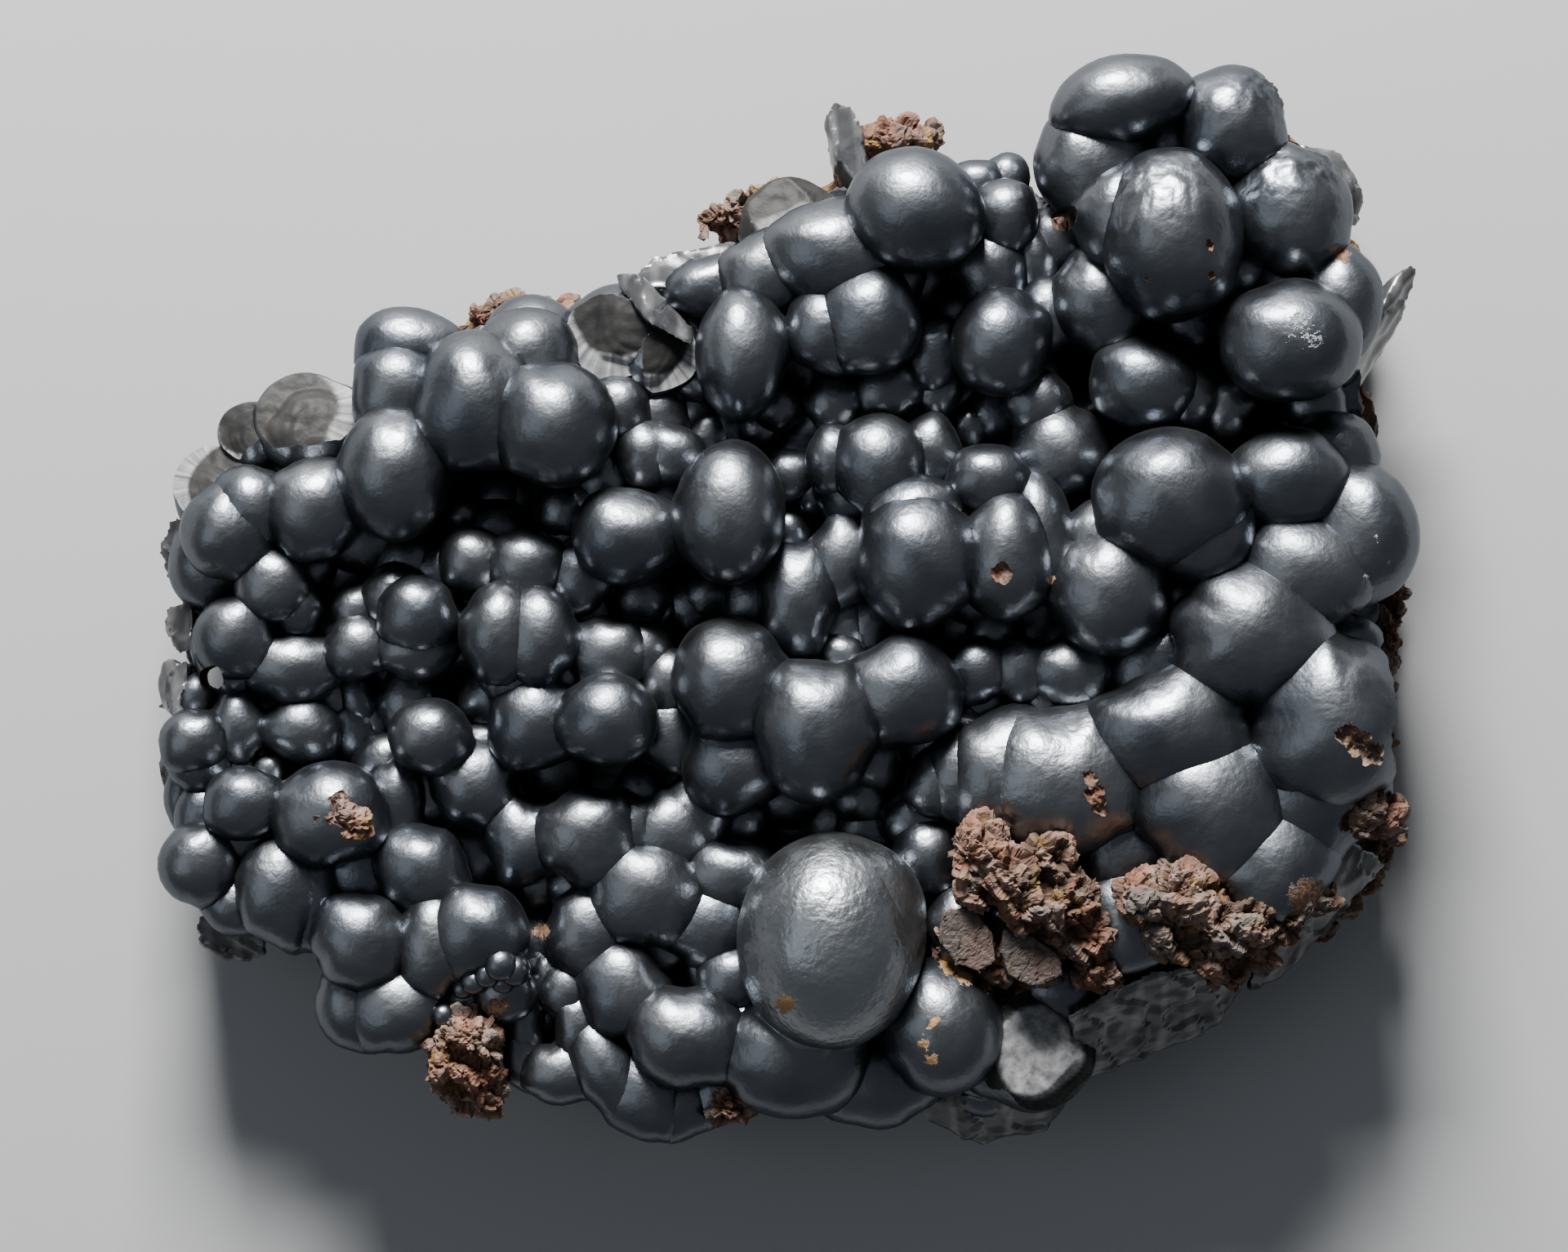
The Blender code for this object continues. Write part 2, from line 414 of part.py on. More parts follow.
def clot_object(name, lumps):
    """Crumbly lumps fused in one clot. The same lumps always give the same clot."""
    form = bmesh.new()
    for x, y, z, radius in lumps:
        centre = Vector((x, y, z))
        for vert in ball(form, centre, (radius,) * 3, 0, FINE):
            out = (vert.co - centre).normalized()
            skin = noise.noise(centre * 0.37 + out * 2.1) + 0.5 * noise.noise(centre * 0.71 + out * 5.3)
            vert.co = centre + out * radius * (1 + ROUGHNESS * skin)
    clot = mesh_object(name, form)
    fuse(clot)
    thin_out(clot, CLOT_SHARE)
    return clot


def slab_object(name, outline, low, high, bulge, taper):
    """An extruded outline whose sides wander, and draw in by the shares of taper from low to high."""
    form = bmesh.new()
    rings = []
    for level, share in enumerate(taper):
        z = low + (high - low) * level / (len(taper) - 1)
        ring = []
        for x, y in outline:
            out = Vector((x, y, 0)).normalized()
            sway = bulge * noise.noise(Vector((x * 0.09, y * 0.09, z * 0.17)))
            inner = 1 - share
            ring.append(form.verts.new((x * inner + out.x * sway, y * inner + out.y * sway, z)))
        rings.append(ring)
    count = len(outline)
    for lower, upper in zip(rings, rings[1:]):
        for i in range(count):
            j = (i + 1) % count
            form.faces.new((lower[i], lower[j], upper[j], upper[i]))
    form.faces.new(list(reversed(rings[0])))
    form.faces.new(rings[-1])
    return mesh_object(name, form)


def window_object(name, x, y, radius):
    """A round cutter for a window in the crust's edge."""
    form = bmesh.new()
    bmesh.ops.create_cone(
        form, cap_ends=True, segments=WINDOW_SIDES, radius1=radius, radius2=radius, depth=FAR,
        matrix=Matrix.Translation((x, y, 0)),
    )
    return mesh_object(name, form)


def gather(name, objects):
    """A hidden collection of helpers for a Boolean."""
    group = bpy.data.collections.new(name)
    bpy.context.scene.collection.children.link(group)
    for item in objects:
        bpy.context.scene.collection.objects.unlink(item)
        group.objects.link(item)
        item.hide_render = True
        item.display_type = "WIRE"
    return group


def cut_away(target, group):
    """Cuts a collection from a piece. EXACT doubles edges where the thinned skin folds, MANIFOLD doesn't."""
    cut = target.modifiers.new("cut", "BOOLEAN")
    cut.operation = "DIFFERENCE"
    cut.operand_type = "COLLECTION"
    cut.collection = group
    cut.solver = "MANIFOLD"
    return cut


def fuse(target):
    """One skin over all the shapes of a mesh that run into each other."""
    skin = target.modifiers.new("one skin", "REMESH")
    skin.mode = "VOXEL"
    skin.voxel_size = FUSE_GRAIN * MM


def thin_out(target, share):
    """Fewer facets, where the surface is flattest."""
    thin = target.modifiers.new("fewer facets", "DECIMATE")
    thin.ratio = share


def swell(target, distance):
    """Grows a cutter outwards, which leaves the gap between two pieces."""
    grown = target.modifiers.new("gap", "DISPLACE")
    grown.mid_level = 0.0
    grown.strength = distance * MM


def finish(target, name, look):
    target.name = name
    target.data.materials.append(material(name, *look))
    target.data.shade_smooth()
    target.data.set_sharp_from_angle(angle=math.radians(CREASE))


def build_crust():
    form = bmesh.new()
    add_core(form)
    for lobe in all_lobes():
        rooted_ball(form, lobe, FINE)
    for entry in BROKEN_LOBES:
        add_form(form, broken_ball(*entry))
    for corners in SPLINTERS.values():
        add_form(form, splinter(corners))
    crust = mesh_object("crust", form)
    fuse(crust)
    thin_out(crust, CRUST_SHARE)
    cutters = [clot_object(f"{name}_bed", lumps) for name, lumps in CLOTS.items()]
    for cutter in cutters:
        swell(cutter, BED_GAP)
    cutters += [window_object(f"window_{i}", *window) for i, window in enumerate(WINDOWS)]
    square = [(FAR, -FAR), (FAR, FAR), (-FAR, FAR), (-FAR, -FAR)]
    below = slab_object("below", square, -FAR, MATRIX_TOP + GAP, 0, (0, 0))
    cut_away(crust, gather("beds", cutters + [below]))
    finish(crust, "romanechite_crust", ROMANECHITE)


def build_matrix():
    slab = slab_object("limonite_matrix", MATRIX_OUTLINE, 0, MATRIX_TOP, MATRIX_BULGE, MATRIX_TAPER)
    finish(slab, "limonite_matrix", MATRIX_BROWN)


def build_clots():
    for name, lumps in CLOTS.items():
        finish(clot_object(name, lumps), name, CLOT_BROWN)


def main():
    clear_scene()
    build_crust()
    build_matrix()
    build_clots()


main()
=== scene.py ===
# %% [markdown]
# # A romanechite specimen
# Romanechite is a manganese oxide. It often grows as a botryoidal crust: hundreds of round lobes, each a
# bundle of fibres that spread from one point, crowded like grapes. This one grew on brown limonite, and
# bits of that limonite still cling to its face. The specimen lies on its flat back, so the camera looks
# straight down on it.
#
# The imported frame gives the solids, their size and their place. Each of the eight main pieces below
# stands for one of them. The small crumbs and flakes are added beside them and stand for none.

# %% The frame
import math
import random

import bpy
import numpy as np
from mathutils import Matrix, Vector, noise


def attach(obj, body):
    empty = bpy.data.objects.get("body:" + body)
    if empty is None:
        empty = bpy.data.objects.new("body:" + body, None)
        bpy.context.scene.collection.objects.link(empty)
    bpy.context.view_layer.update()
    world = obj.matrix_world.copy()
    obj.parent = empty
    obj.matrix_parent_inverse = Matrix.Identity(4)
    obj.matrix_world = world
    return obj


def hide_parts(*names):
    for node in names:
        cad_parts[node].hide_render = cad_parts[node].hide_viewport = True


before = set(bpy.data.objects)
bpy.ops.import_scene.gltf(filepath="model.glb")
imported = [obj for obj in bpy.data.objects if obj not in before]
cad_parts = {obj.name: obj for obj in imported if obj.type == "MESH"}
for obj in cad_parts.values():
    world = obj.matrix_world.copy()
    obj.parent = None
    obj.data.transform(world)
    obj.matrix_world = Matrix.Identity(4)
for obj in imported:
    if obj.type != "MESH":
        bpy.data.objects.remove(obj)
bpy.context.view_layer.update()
print("solids:", sorted(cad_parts))

# %% [markdown]
# ## Units
# The sizes below are in millimetres, which is how a person would measure a stone. One factor turns them
# to Blender's metres. The tables were read off with the origin a little off the middle of the stone, and
# OFFSET brings them to the frame's own origin.

# %% Units and offset
MM = 0.001
OFFSET = np.array((0.4, 0.4, 0.0))
MATRIX_TOP = 14.0  # the limonite under the crust is this thick
ROOT_FLOOR = 15.0  # every lobe tapers down to this height

# %% [markdown]
# ## Small helpers
# An operator acts on whatever is selected. So each step first selects one object and nothing else. Points
# are read and written as one array, because a stone has too many points to visit one at a time.


# %% Selecting, reading and writing
def only(piece):
    bpy.ops.object.select_all(action="DESELECT")
    piece.select_set(True)
    bpy.context.view_layer.objects.active = piece
    return piece


def edit(piece):
    only(piece)
    bpy.ops.object.mode_set(mode="EDIT")
    bpy.ops.mesh.select_all(action="SELECT")


def done():
    bpy.ops.object.mode_set(mode="OBJECT")


def points_of(mesh):
    points = np.empty(len(mesh.vertices) * 3, np.float32)
    mesh.vertices.foreach_get("co", points)
    return points.reshape(-1, 3).astype(np.float64)


def set_points(mesh, points):
    mesh.vertices.foreach_set("co", points.astype(np.float32).ravel())
    mesh.update()


def apply(piece, kind, **settings):
    """Adds a modifier and applies it."""
    only(piece)
    added = piece.modifiers.new(kind.lower(), kind)
    for key, value in settings.items():
        setattr(added, key, value)
    bpy.ops.object.modifier_apply(modifier=added.name)


def count(piece):
    piece.data.calc_loop_triangles()
    return len(piece.data.loop_triangles)


def wander(points, grain, seed=0.0):
    """A smooth random value for each point, between about -1 and 1, that changes over a length of grain."""
    shifted = points / grain + seed * 7.31
    return np.array([noise.noise(Vector(p)) for p in shifted]) * 1.6


def ridged(points, grain, seed=0.0):
    """Sharp winding ridges, from 0 in the valleys to 1 on the crests."""
    return 1.0 - np.minimum(1.0, np.abs(wander(points, grain, seed)) * 2.2)


# %% [markdown]
# Three jobs come back for many pieces: showing a mesh in the scene, building the hull of a few corners,
# and cutting one piece with another. Each face keeps its number through a cut, and a cutter's faces bring
# theirs along.


# %% Making and cutting pieces
def placed(name, mesh):
    """A new object in the scene that shows a mesh."""
    piece = bpy.data.objects.new(name, mesh)
    bpy.context.scene.collection.objects.link(piece)
    return piece


def hull(name, corners, grain):
    """The convex hull of some corners, in mm, with its surface remeshed to a grain."""
    mesh = bpy.data.meshes.new(name)
    mesh.from_pydata([tuple((np.array(c) + OFFSET) * MM) for c in corners], [], [])
    piece = placed(name, mesh)
    edit(piece)
    bpy.ops.mesh.convex_hull()
    bpy.ops.mesh.normals_make_consistent(inside=False)
    done()
    apply(piece, "REMESH", mode="VOXEL", voxel_size=grain * MM)
    return piece


def face_outward():
    """Turns every face of the mesh being edited outward and leaves edit mode."""
    bpy.ops.mesh.select_all(action="SELECT")
    bpy.ops.mesh.normals_make_consistent(inside=False)
    done()


def cut(piece, tool, operation="DIFFERENCE"):
    """Takes a tool's shape away from a piece, or keeps only the part inside it, and removes the tool."""
    apply(piece, "BOOLEAN", operation=operation, solver="MANIFOLD", object=tool)
    bpy.data.objects.remove(tool)


# %% [markdown]
# ## The camera and the light
# The picture frames 274 by 219 mm, square on to the face. A long lens about a metre away gives the same
# flat view. The light there is one soft source past the top edge, low over the face: each lobe carries
# its bright spot high up, and falls to near black on the far side. So the key is a softbox beyond +Y,
# about 33 degrees up as seen from the stone, with a weak dome that keeps the shadows open.

# %% Camera
PIXELS_PER_MM = 7  # the scale that was chosen for the photograph, which has nothing of known size
VIEW_WIDTH = 1920 / PIXELS_PER_MM
VIEW_CENTRE = (-0.17, -4.1)
CAMERA_HEIGHT = 1100.0
FACE_LEVEL = 36.0  # the height at which the scale of the photograph holds

bpy.ops.object.select_all(action="DESELECT")
bpy.ops.object.camera_add(location=(VIEW_CENTRE[0] * MM, VIEW_CENTRE[1] * MM, CAMERA_HEIGHT * MM))
camera = bpy.context.object
camera.name = "camera"
camera.rotation_euler = (0, 0, 0)
camera.data.sensor_width = 36
camera.data.lens = 36 * (CAMERA_HEIGHT - FACE_LEVEL) / VIEW_WIDTH
camera.data.clip_start = 0.05
bpy.context.scene.camera = camera
print("lens", round(camera.data.lens, 1), "mm")


# %% [markdown]
# Both lights are squares of a soft size, because a small lamp would leave a hard dot on every lobe. The
# fill is cool and weak. The dome's colour is a pale sky, which is what the dark sides of the lobes
# reflect.


# %% Lights
def softbox(name, place, aim, size, power, colour):
    """A square light at a place, in metres, that faces the aim."""
    bpy.ops.object.select_all(action="DESELECT")
    bpy.ops.object.light_add(type="AREA", location=place)
    light = bpy.context.object
    light.name = name
    light.data.shape = "RECTANGLE"
    light.data.size, light.data.size_y = size
    light.data.energy = power
    light.data.color = colour
    light.rotation_euler = (Vector(aim) - Vector(place)).to_track_quat("-Z", "Y").to_euler()
    return light


softbox("key", (-0.12, 0.98, 0.66), (0, 0, 0.03), (0.42, 0.36), 84.0, (1.0, 0.985, 0.96))
softbox("fill", (-0.75, -0.1, 0.9), (0, 0, 0.03), (0.7, 0.7), 1.6, (0.86, 0.93, 1.0))
world = bpy.data.worlds.new("dome")
world.use_nodes = True
world.node_tree.nodes["Background"].inputs["Color"].default_value = (0.74, 0.8, 0.88, 1)
world.node_tree.nodes["Background"].inputs["Strength"].default_value = 0.23
bpy.context.scene.world = world
print("two softboxes and a dome")

# %% [markdown]
# ## The floor
# A pale sheet, far larger than the stone, so that no edge shows.

# %% Floor
bpy.ops.object.select_all(action="DESELECT")
bpy.ops.mesh.primitive_plane_add(size=6)
floor = bpy.context.object
floor.name = "floor"
floor_paint = bpy.data.materials.new("pale_floor")
floor_paint.use_nodes = True
floor_shader = floor_paint.node_tree.nodes["Principled BSDF"]
floor_shader.inputs["Base Color"].default_value = (0.27, 0.274, 0.28, 1)
floor_shader.inputs["Roughness"].default_value = 0.8
floor.data.materials.append(floor_paint)
print("floor at z =", floor.location.z)

# %% [markdown]
# ## The lobes
# Each row is one lobe: its middle (x, y, z), half its width, half its height across the face, and its
# turn in degrees. They could be scattered by chance, but a stone is known by the way its own lobes crowd,
# so they were read from the specimen, region by region.

# %% Table of lobes
LOBES = {
    "left_shoulder": [
        (-98.2, 11.8, 33, 8.4, 8.4, 0), (-94.3, 16.2, 33.5, 6.2, 7.8, 0),
        (-82.8, 15.8, 35, 7.6, 9.4, 8), (-68.8, 22.0, 38, 9.3, 11.8, 14),
        (-68.5, 37.0, 33, 7.9, 7.6, 0), (-54.8, 34.8, 39, 9.8, 12.4, 6),
        (-40.0, 30.5, 43, 10.5, 11.0, 0), (-45.5, 43.0, 33, 8.3, 7.8, 0),
        (-44.6, 46.2, 29, 7.8, 7.8, 0), (-67.1, 45.2, 29.5, 9.2, 6.6, 0),
        (-102.5, 6.0, 25, 7.0, 7.6, 0),
        (-29.0, 34.0, 33, 5.2, 5.6, 0), (-57.4, 15.6, 24, 3.2, 3.2, 0),
    ],
    "left_flank": [
        (-90.3, 2.8, 33, 6.0, 6.1, 0), (-86.0, -1.2, 31, 4.8, 4.6, 0),
        (-97.3, -6.3, 32, 6.4, 6.8, 0), (-98.0, -9.6, 27, 6.6, 7.0, 20),
        (-86.6, -11.8, 29, 8.4, 6.2, 0),
        (-75.3, -8.4, 33, 5.2, 5.4, 0), (-76.0, -1.4, 31, 4.0, 4.0, 0),
        (-69.0, 1.2, 32, 5.3, 5.6, 0), (-64.6, -2.3, 36, 6.5, 6.3, 0),
        (-64.8, -8.4, 33, 6.9, 6.0, 0), (-58.2, -4.0, 29, 3.0, 3.6, 0),
        (-96.8, -22.3, 28, 4.9, 6.2, 0), (-104.7, -24.6, 31, 5.8, 5.4, 0),
        (-103.6, -28.6, 29, 5.2, 4.8, 0), (-104.6, -16.6, 26, 3.4, 3.4, 0),
        (-85.3, -22.9, 29, 7.0, 5.3, 0), (-75.6, -17.6, 25, 3.6, 5.0, 20),
        (-72.6, -21.2, 25, 3.2, 3.4, 0), (-62.6, -23.4, 36, 7.2, 6.5, 0),
        (-53.4, -25.4, 31, 3.4, 3.6, 0), (-55.0, -32.4, 31, 7.6, 7.8, -12),
    ],
    "left_foot": [
        (-95.2, -35.2, 36, 6.8, 6.3, 0), (-94.8, -40.0, 31, 6.4, 5.8, 0),
        (-91.2, -29.8, 28, 2.6, 2.6, 0), (-103.0, -37.6, 28, 4.4, 5.0, 0),
        (-107.2, -34.6, 24, 3.2, 5.2, 0), (-103.7, -46.2, 33, 6.8, 7.1, 0),
        (-79.4, -37.2, 37, 9.8, 9.2, 0), (-68.6, -35.2, 31, 4.8, 7.2, 0),
        (-63.8, -46.8, 35, 8.0, 7.2, -14), (-74.8, -47.6, 32, 5.4, 5.6, 0),
        (-89.2, -51.2, 34, 7.2, 9.2, 0), (-84.6, -51.8, 33, 5.6, 8.8, 0),
        (-97.6, -53.9, 31, 5.0, 5.0, 0), (-74.8, -59.2, 37, 7.9, 7.9, 0),
        (-61.8, -60.4, 37, 5.9, 8.0, 0), (-53.2, -58.0, 38, 8.4, 8.0, 0),
        (-76.6, -71.6, 33, 6.2, 7.4, 22), (-68.0, -72.0, 34, 8.4, 7.4, 0),
    ],
    "small_pearls": [
        (-49.8, -63.4, 43.5, 2.6, 2.6, 0), (-47.4, -64.6, 42, 2.6, 2.6, 0),
        (-52.2, -65.3, 42.5, 2.0, 2.0, 0), (-54.6, -66.5, 41, 2.2, 2.2, 0),
        (-56.6, -67.8, 39, 1.8, 1.8, 0), (-49.4, -66.6, 41, 2.0, 2.0, 0),
        (-60.0, -72.4, 39, 1.8, 1.8, 0),
    ],
    "lower_edge": [
        (-42.4, -66.6, 31, 3.0, 4.7, 0), (-36.8, -74.4, 33, 3.9, 5.8, 14),
        (-31.6, -82.2, 33, 5.0, 9.2, 30), (-25.0, -87.4, 33, 6.4, 7.8, 24),
        (-46.6, -74.0, 29, 4.0, 5.6, 0), (-47.4, -80.4, 29, 4.0, 5.4, 12),
        (-39.6, -83.2, 31, 6.6, 5.7, 0), (-17.8, -76.4, 38, 9.3, 8.9, 0),
        (-28.6, -68.2, 35, 7.2, 7.5, 0), (-35.4, -58.4, 33, 6.8, 7.9, 0),
        (-39.4, -62.0, 31, 3.5, 4.8, 20), (-18.4, -89.0, 33, 5.0, 5.6, 0),
        (-12.2, -87.0, 33, 4.4, 5.4, 0), (1.6, -79.8, 36, 12.6, 11.2, 0),
        (-7.6, -77.6, 34, 6.0, 8.6, 0), (15.6, -84.8, 32, 9.2, 8.0, -18),
    ],
    "lower_middle": [
        (-13.8, -57.4, 33, 7.5, 7.2, 0), (-24.6, -51.6, 35, 8.8, 8.4, 0),
        (-9.4, -48.0, 34, 7.4, 5.7, 0), (-17.0, -50.0, 33, 6.0, 4.8, 0),
        (-20.8, -41.0, 33, 6.6, 6.2, 0), (-35.0, -41.0, 35, 8.2, 8.4, 0),
        (-29.0, -40.2, 34, 5.6, 6.0, 0), (-46.8, -42.6, 32, 6.2, 7.3, 0),
        (-44.0, -50.0, 28, 4.2, 3.8, 0), (-16.4, -37.6, 32, 6.2, 6.0, -30),
        (-8.4, -38.6, 28, 5.4, 4.0, 0), (-9.9, -29.2, 37, 8.2, 8.4, 0),
        (-36.2, -50.2, 30, 5.4, 4.0, 0),
    ],
    "middle": [
        (-10.6, -13.4, 41, 9.8, 10.6, 0), (-20.8, -14.4, 35, 4.2, 5.2, 0),
        (-20.4, -23.4, 33, 5.4, 6.8, 0), (-31.2, -9.2, 35, 6.7, 6.5, 0),
        (-25.2, -8.8, 34, 4.6, 5.4, 0), (-31.2, -20.9, 41, 8.7, 8.2, 0),
        (-44.4, -21.6, 35, 7.9, 8.2, 0), (-47.6, -13.4, 35, 5.8, 4.9, 0),
        (-50.6, -5.9, 38, 6.5, 8.3, 0), (-43.2, -6.2, 38, 6.4, 7.8, 0),
        (-55.5, 7.2, 33, 5.7, 5.8, 0), (-45.4, 6.4, 35, 6.2, 6.3, 0),
        (-36.2, 4.0, 34, 5.4, 6.3, 0), (-28.4, 11.1, 40, 9.2, 8.8, 0),
        (-10.0, 15.2, 43, 9.7, 12.8, 0), (-25.0, 25.5, 34, 4.7, 5.5, 0),
        (-20.0, 25.8, 34, 5.1, 5.0, 0), (-22.0, -1.8, 26, 3.0, 3.0, 0),
        (-4.4, 30.4, 27, 3.4, 3.4, 0), (5.2, -22.8, 44, 10.2, 12.8, 0),
        (20.6, -15.8, 42, 10.2, 9.4, -8), (9.6, -9.4, 35, 3.6, 3.4, 0),
        (2.0, 0.0, 36, 6.8, 9.5, 0), (0.4, 12.0, 29, 3.4, 3.6, 0),
        (9.4, 7.0, 35, 5.6, 7.8, 0),
    ],
    "upper_middle": [
        (-8.0, 42.8, 39, 8.2, 11.4, 0), (-14.6, 55.2, 31, 8.2, 5.2, 14),
        (-3.6, 57.2, 34.4, 8.0, 7.2, 0), (7.4, 60.6, 37, 11.2, 9.0, -8),
        (22.2, 68.0, 43, 12.4, 10.6, -22), (38.2, 67.6, 35, 5.4, 6.2, 0),
        (33.4, 73.4, 29, 4.4, 4.2, 0), (38.8, 74.6, 27, 3.6, 4.6, 0),
        (35.4, 58.0, 33, 6.4, 6.6, 0), (43.4, 60.4, 31, 4.2, 6.4, 0),
        (6.6, 46.8, 39, 6.6, 7.4, 10), (14.8, 48.2, 40, 8.7, 9.2, 0),
        (25.6, 43.6, 33, 4.7, 6.8, 0), (26.4, 37.6, 31, 4.2, 5.4, 0),
        (37.2, 45.0, 38, 8.7, 9.8, -16), (45.6, 50.0, 34, 5.0, 6.2, 0),
        (7.8, 34.6, 34, 5.1, 4.7, 0), (17.6, 36.6, 33, 6.0, 5.0, 14),
        (32.8, 30.8, 27, 4.0, 4.0, 0), (44.0, 34.8, 34, 5.9, 4.9, 26),
        (47.4, 26.0, 33, 8.6, 7.8, 16), (7.8, 24.6, 37, 4.8, 5.6, 0),
        (15.8, 24.0, 38, 8.0, 8.7, 0), (25.4, 26.4, 35, 4.8, 6.2, 0),
        (12.0, 18.4, 34, 7.0, 4.6, 0), (4.2, 18.6, 30, 2.8, 3.4, 0),
        (34.8, 21.4, 41, 6.8, 5.9, 0), (21.8, 15.0, 42, 8.0, 5.8, 20),
        (22.6, 7.0, 42, 10.7, 11.8, 0), (38.4, 7.4, 42, 7.4, 11.4, 0),
        (43.8, 11.4, 38, 6.2, 11.0, 8),
    ],
    "upper_right": [
        (54.6, 52.4, 36, 8.2, 9.2, 20), (67.0, 63.4, 44, 12.4, 15.2, 0),
        (59.4, 67.0, 42, 9.6, 8.6, 20), (53.0, 76.0, 37, 9.9, 9.6, 0),
        (58.0, 87.4, 41, 11.9, 7.6, 12), (77.6, 83.6, 39, 9.2, 9.7, 0),
        (88.2, 68.2, 38, 10.4, 11.0, 14), (87.6, 44.8, 44, 12.6, 10.7, 8),
        (96.6, 52.0, 37, 7.4, 9.4, -10), (70.6, 49.0, 30, 5.4, 5.6, 0),
        (62.0, 37.8, 39, 9.4, 7.5, 0), (69.6, 36.4, 37, 4.8, 6.2, 0),
        (77.2, 34.0, 33, 4.9, 5.6, 0), (53.8, 11.2, 39, 5.2, 5.8, -16),
        (55.8, 1.0, 40, 10.1, 10.9, 0), (66.4, 18.0, 43, 13.2, 12.2, 0),
        (71.8, 12.6, 42.6, 8.6, 8.8, 0), (87.2, 21.4, 40, 9.7, 8.9, 0),
        (96.4, 26.4, 35, 6.9, 6.7, 0), (101.0, 12.0, 37, 9.4, 12.2, 10),
        (90.2, 5.0, 40, 11.0, 8.8, -14),
    ],
    "right_flank": [
        (80.0, -5.8, 41, 12.8, 11.6, 0), (64.0, -10.6, 36, 7.2, 5.4, 32),
        (33.0, -12.0, 36, 5.2, 5.9, 0), (40.6, -12.0, 36, 4.4, 5.8, 0),
        (49.4, -12.6, 36, 7.0, 5.4, -10), (26.2, -31.8, 38, 5.7, 5.6, 0),
        (30.8, -30.8, 38, 6.6, 7.4, 0), (37.4, -30.6, 38, 9.4, 10.6, 0),
        (48.2, -31.6, 37, 14.4, 13.4, 0), (22.4, -38.2, 33, 6.6, 5.0, 0),
        (24.8, -45.2, 36, 5.6, 6.0, 0), (7.6, -59.4, 44, 16.2, 18.4, 0),
        (9.4, -54.4, 45, 14.0, 13.4, 0), (30.6, -56.8, 37, 5.9, 6.6, 0),
        (27.4, -75.0, 38, 10.6, 11.8, 0), (66.6, -22.4, 40, 12.8, 10.2, 0),
        (60.6, -31.6, 36, 6.4, 8.4, 10), (73.6, -36.4, 39, 12.2, 12.4, 0),
        (95.0, -21.2, 39.4, 13.4, 15.2, -24), (92.0, -32.0, 35.5, 12.0, 13.0, 0),
        (84.2, -47.2, 38, 10.4, 11.2, 0), (98.4, -7.4, 33, 5.6, 4.6, 0),
        (59.4, -56.6, 36, 9.4, 10.0, 0), (68.0, -67.0, 27, 9.0, 6.0, 14),
        (48.0, -68.0, 30, 9.0, 8.0, 0),
    ],
    "fillers": [
        (58.6, -44.0, 34, 9.4, 9.0, 0), (43.0, -45.0, 33, 8.0, 7.0, 0), (72.0, -48.0, 33, 8.0, 7.0, 0),
        (-9.2, -66.4, 36, 5.8, 5.0, 0), (-13.0, -64.8, 33, 4.2, 3.6, 0),
    ],
}

print(sum(len(rows) for rows in LOBES.values()), "lobes in", len(LOBES), "regions")

# %% [markdown]
# Seven lobes were knocked open. Each row gives the lobe, a point of the break, the way that the break
# faces, and how far the middle of its shells lies from the middle of the lobe, in radii. The pale ledge
# is wide on the far side.

# %% Table of broken lobes
BROKEN_LOBES = [
    ((-84.8, 31.6, 27, 9.8, 8.6, 0), (-84.8, 31.6, 31.6), (0.05, 0.25, 1.0), (-0.26, 0.2)),
    ((-94.4, 29.4, 26, 6.2, 5.8, 0), (-94.4, 29.4, 29.4), (-0.2, 0.2, 1.0), (-0.16, 0.3)),
    ((-101.6, 20.0, 26, 7.0, 7.2, 0), (-101.6, 20.0, 29.2), (-0.35, 0.3, 1.0), (0.34, 0.06)),
    ((-29.8, 47.2, 31, 8.6, 8.6, 0), (-29.8, 47.2, 35.4), (-0.05, -0.02, 1.0), (0.0, 0.4)),
    ((-22.4, 43.4, 31, 6.8, 7.8, 0), (-22.4, 43.4, 35.4), (0.1, -0.06, 1.0), (-0.1, 0.36)),
    ((0.6, 66.4, 30, 8.8, 8.2, 0), (0.6, 66.4, 33.6), (-0.15, 0.4, 1.0), (0.1, -0.34)),
    ((43.0, -79.0, 32, 11.2, 11.0, 0), (43.0, -79.0, 38.7), (0.24, 0.04, 1.0), (0.06, 0.04)),
]
FOOT_BREAK = 6  # the pale facet at the foot
# These split along a plane: flat in the middle, with the shells as bands round it.
FLAT_BREAKS = (5, FOOT_BREAK)
print(len(BROKEN_LOBES), "broken lobes,", len(FLAT_BREAKS), "of them flat")

# %% [markdown]
# The splinters are given by their corners, the outline of the solid crust and the outline of the limonite
# by the points along their edges, and the hollows and windows by a middle and a radius.

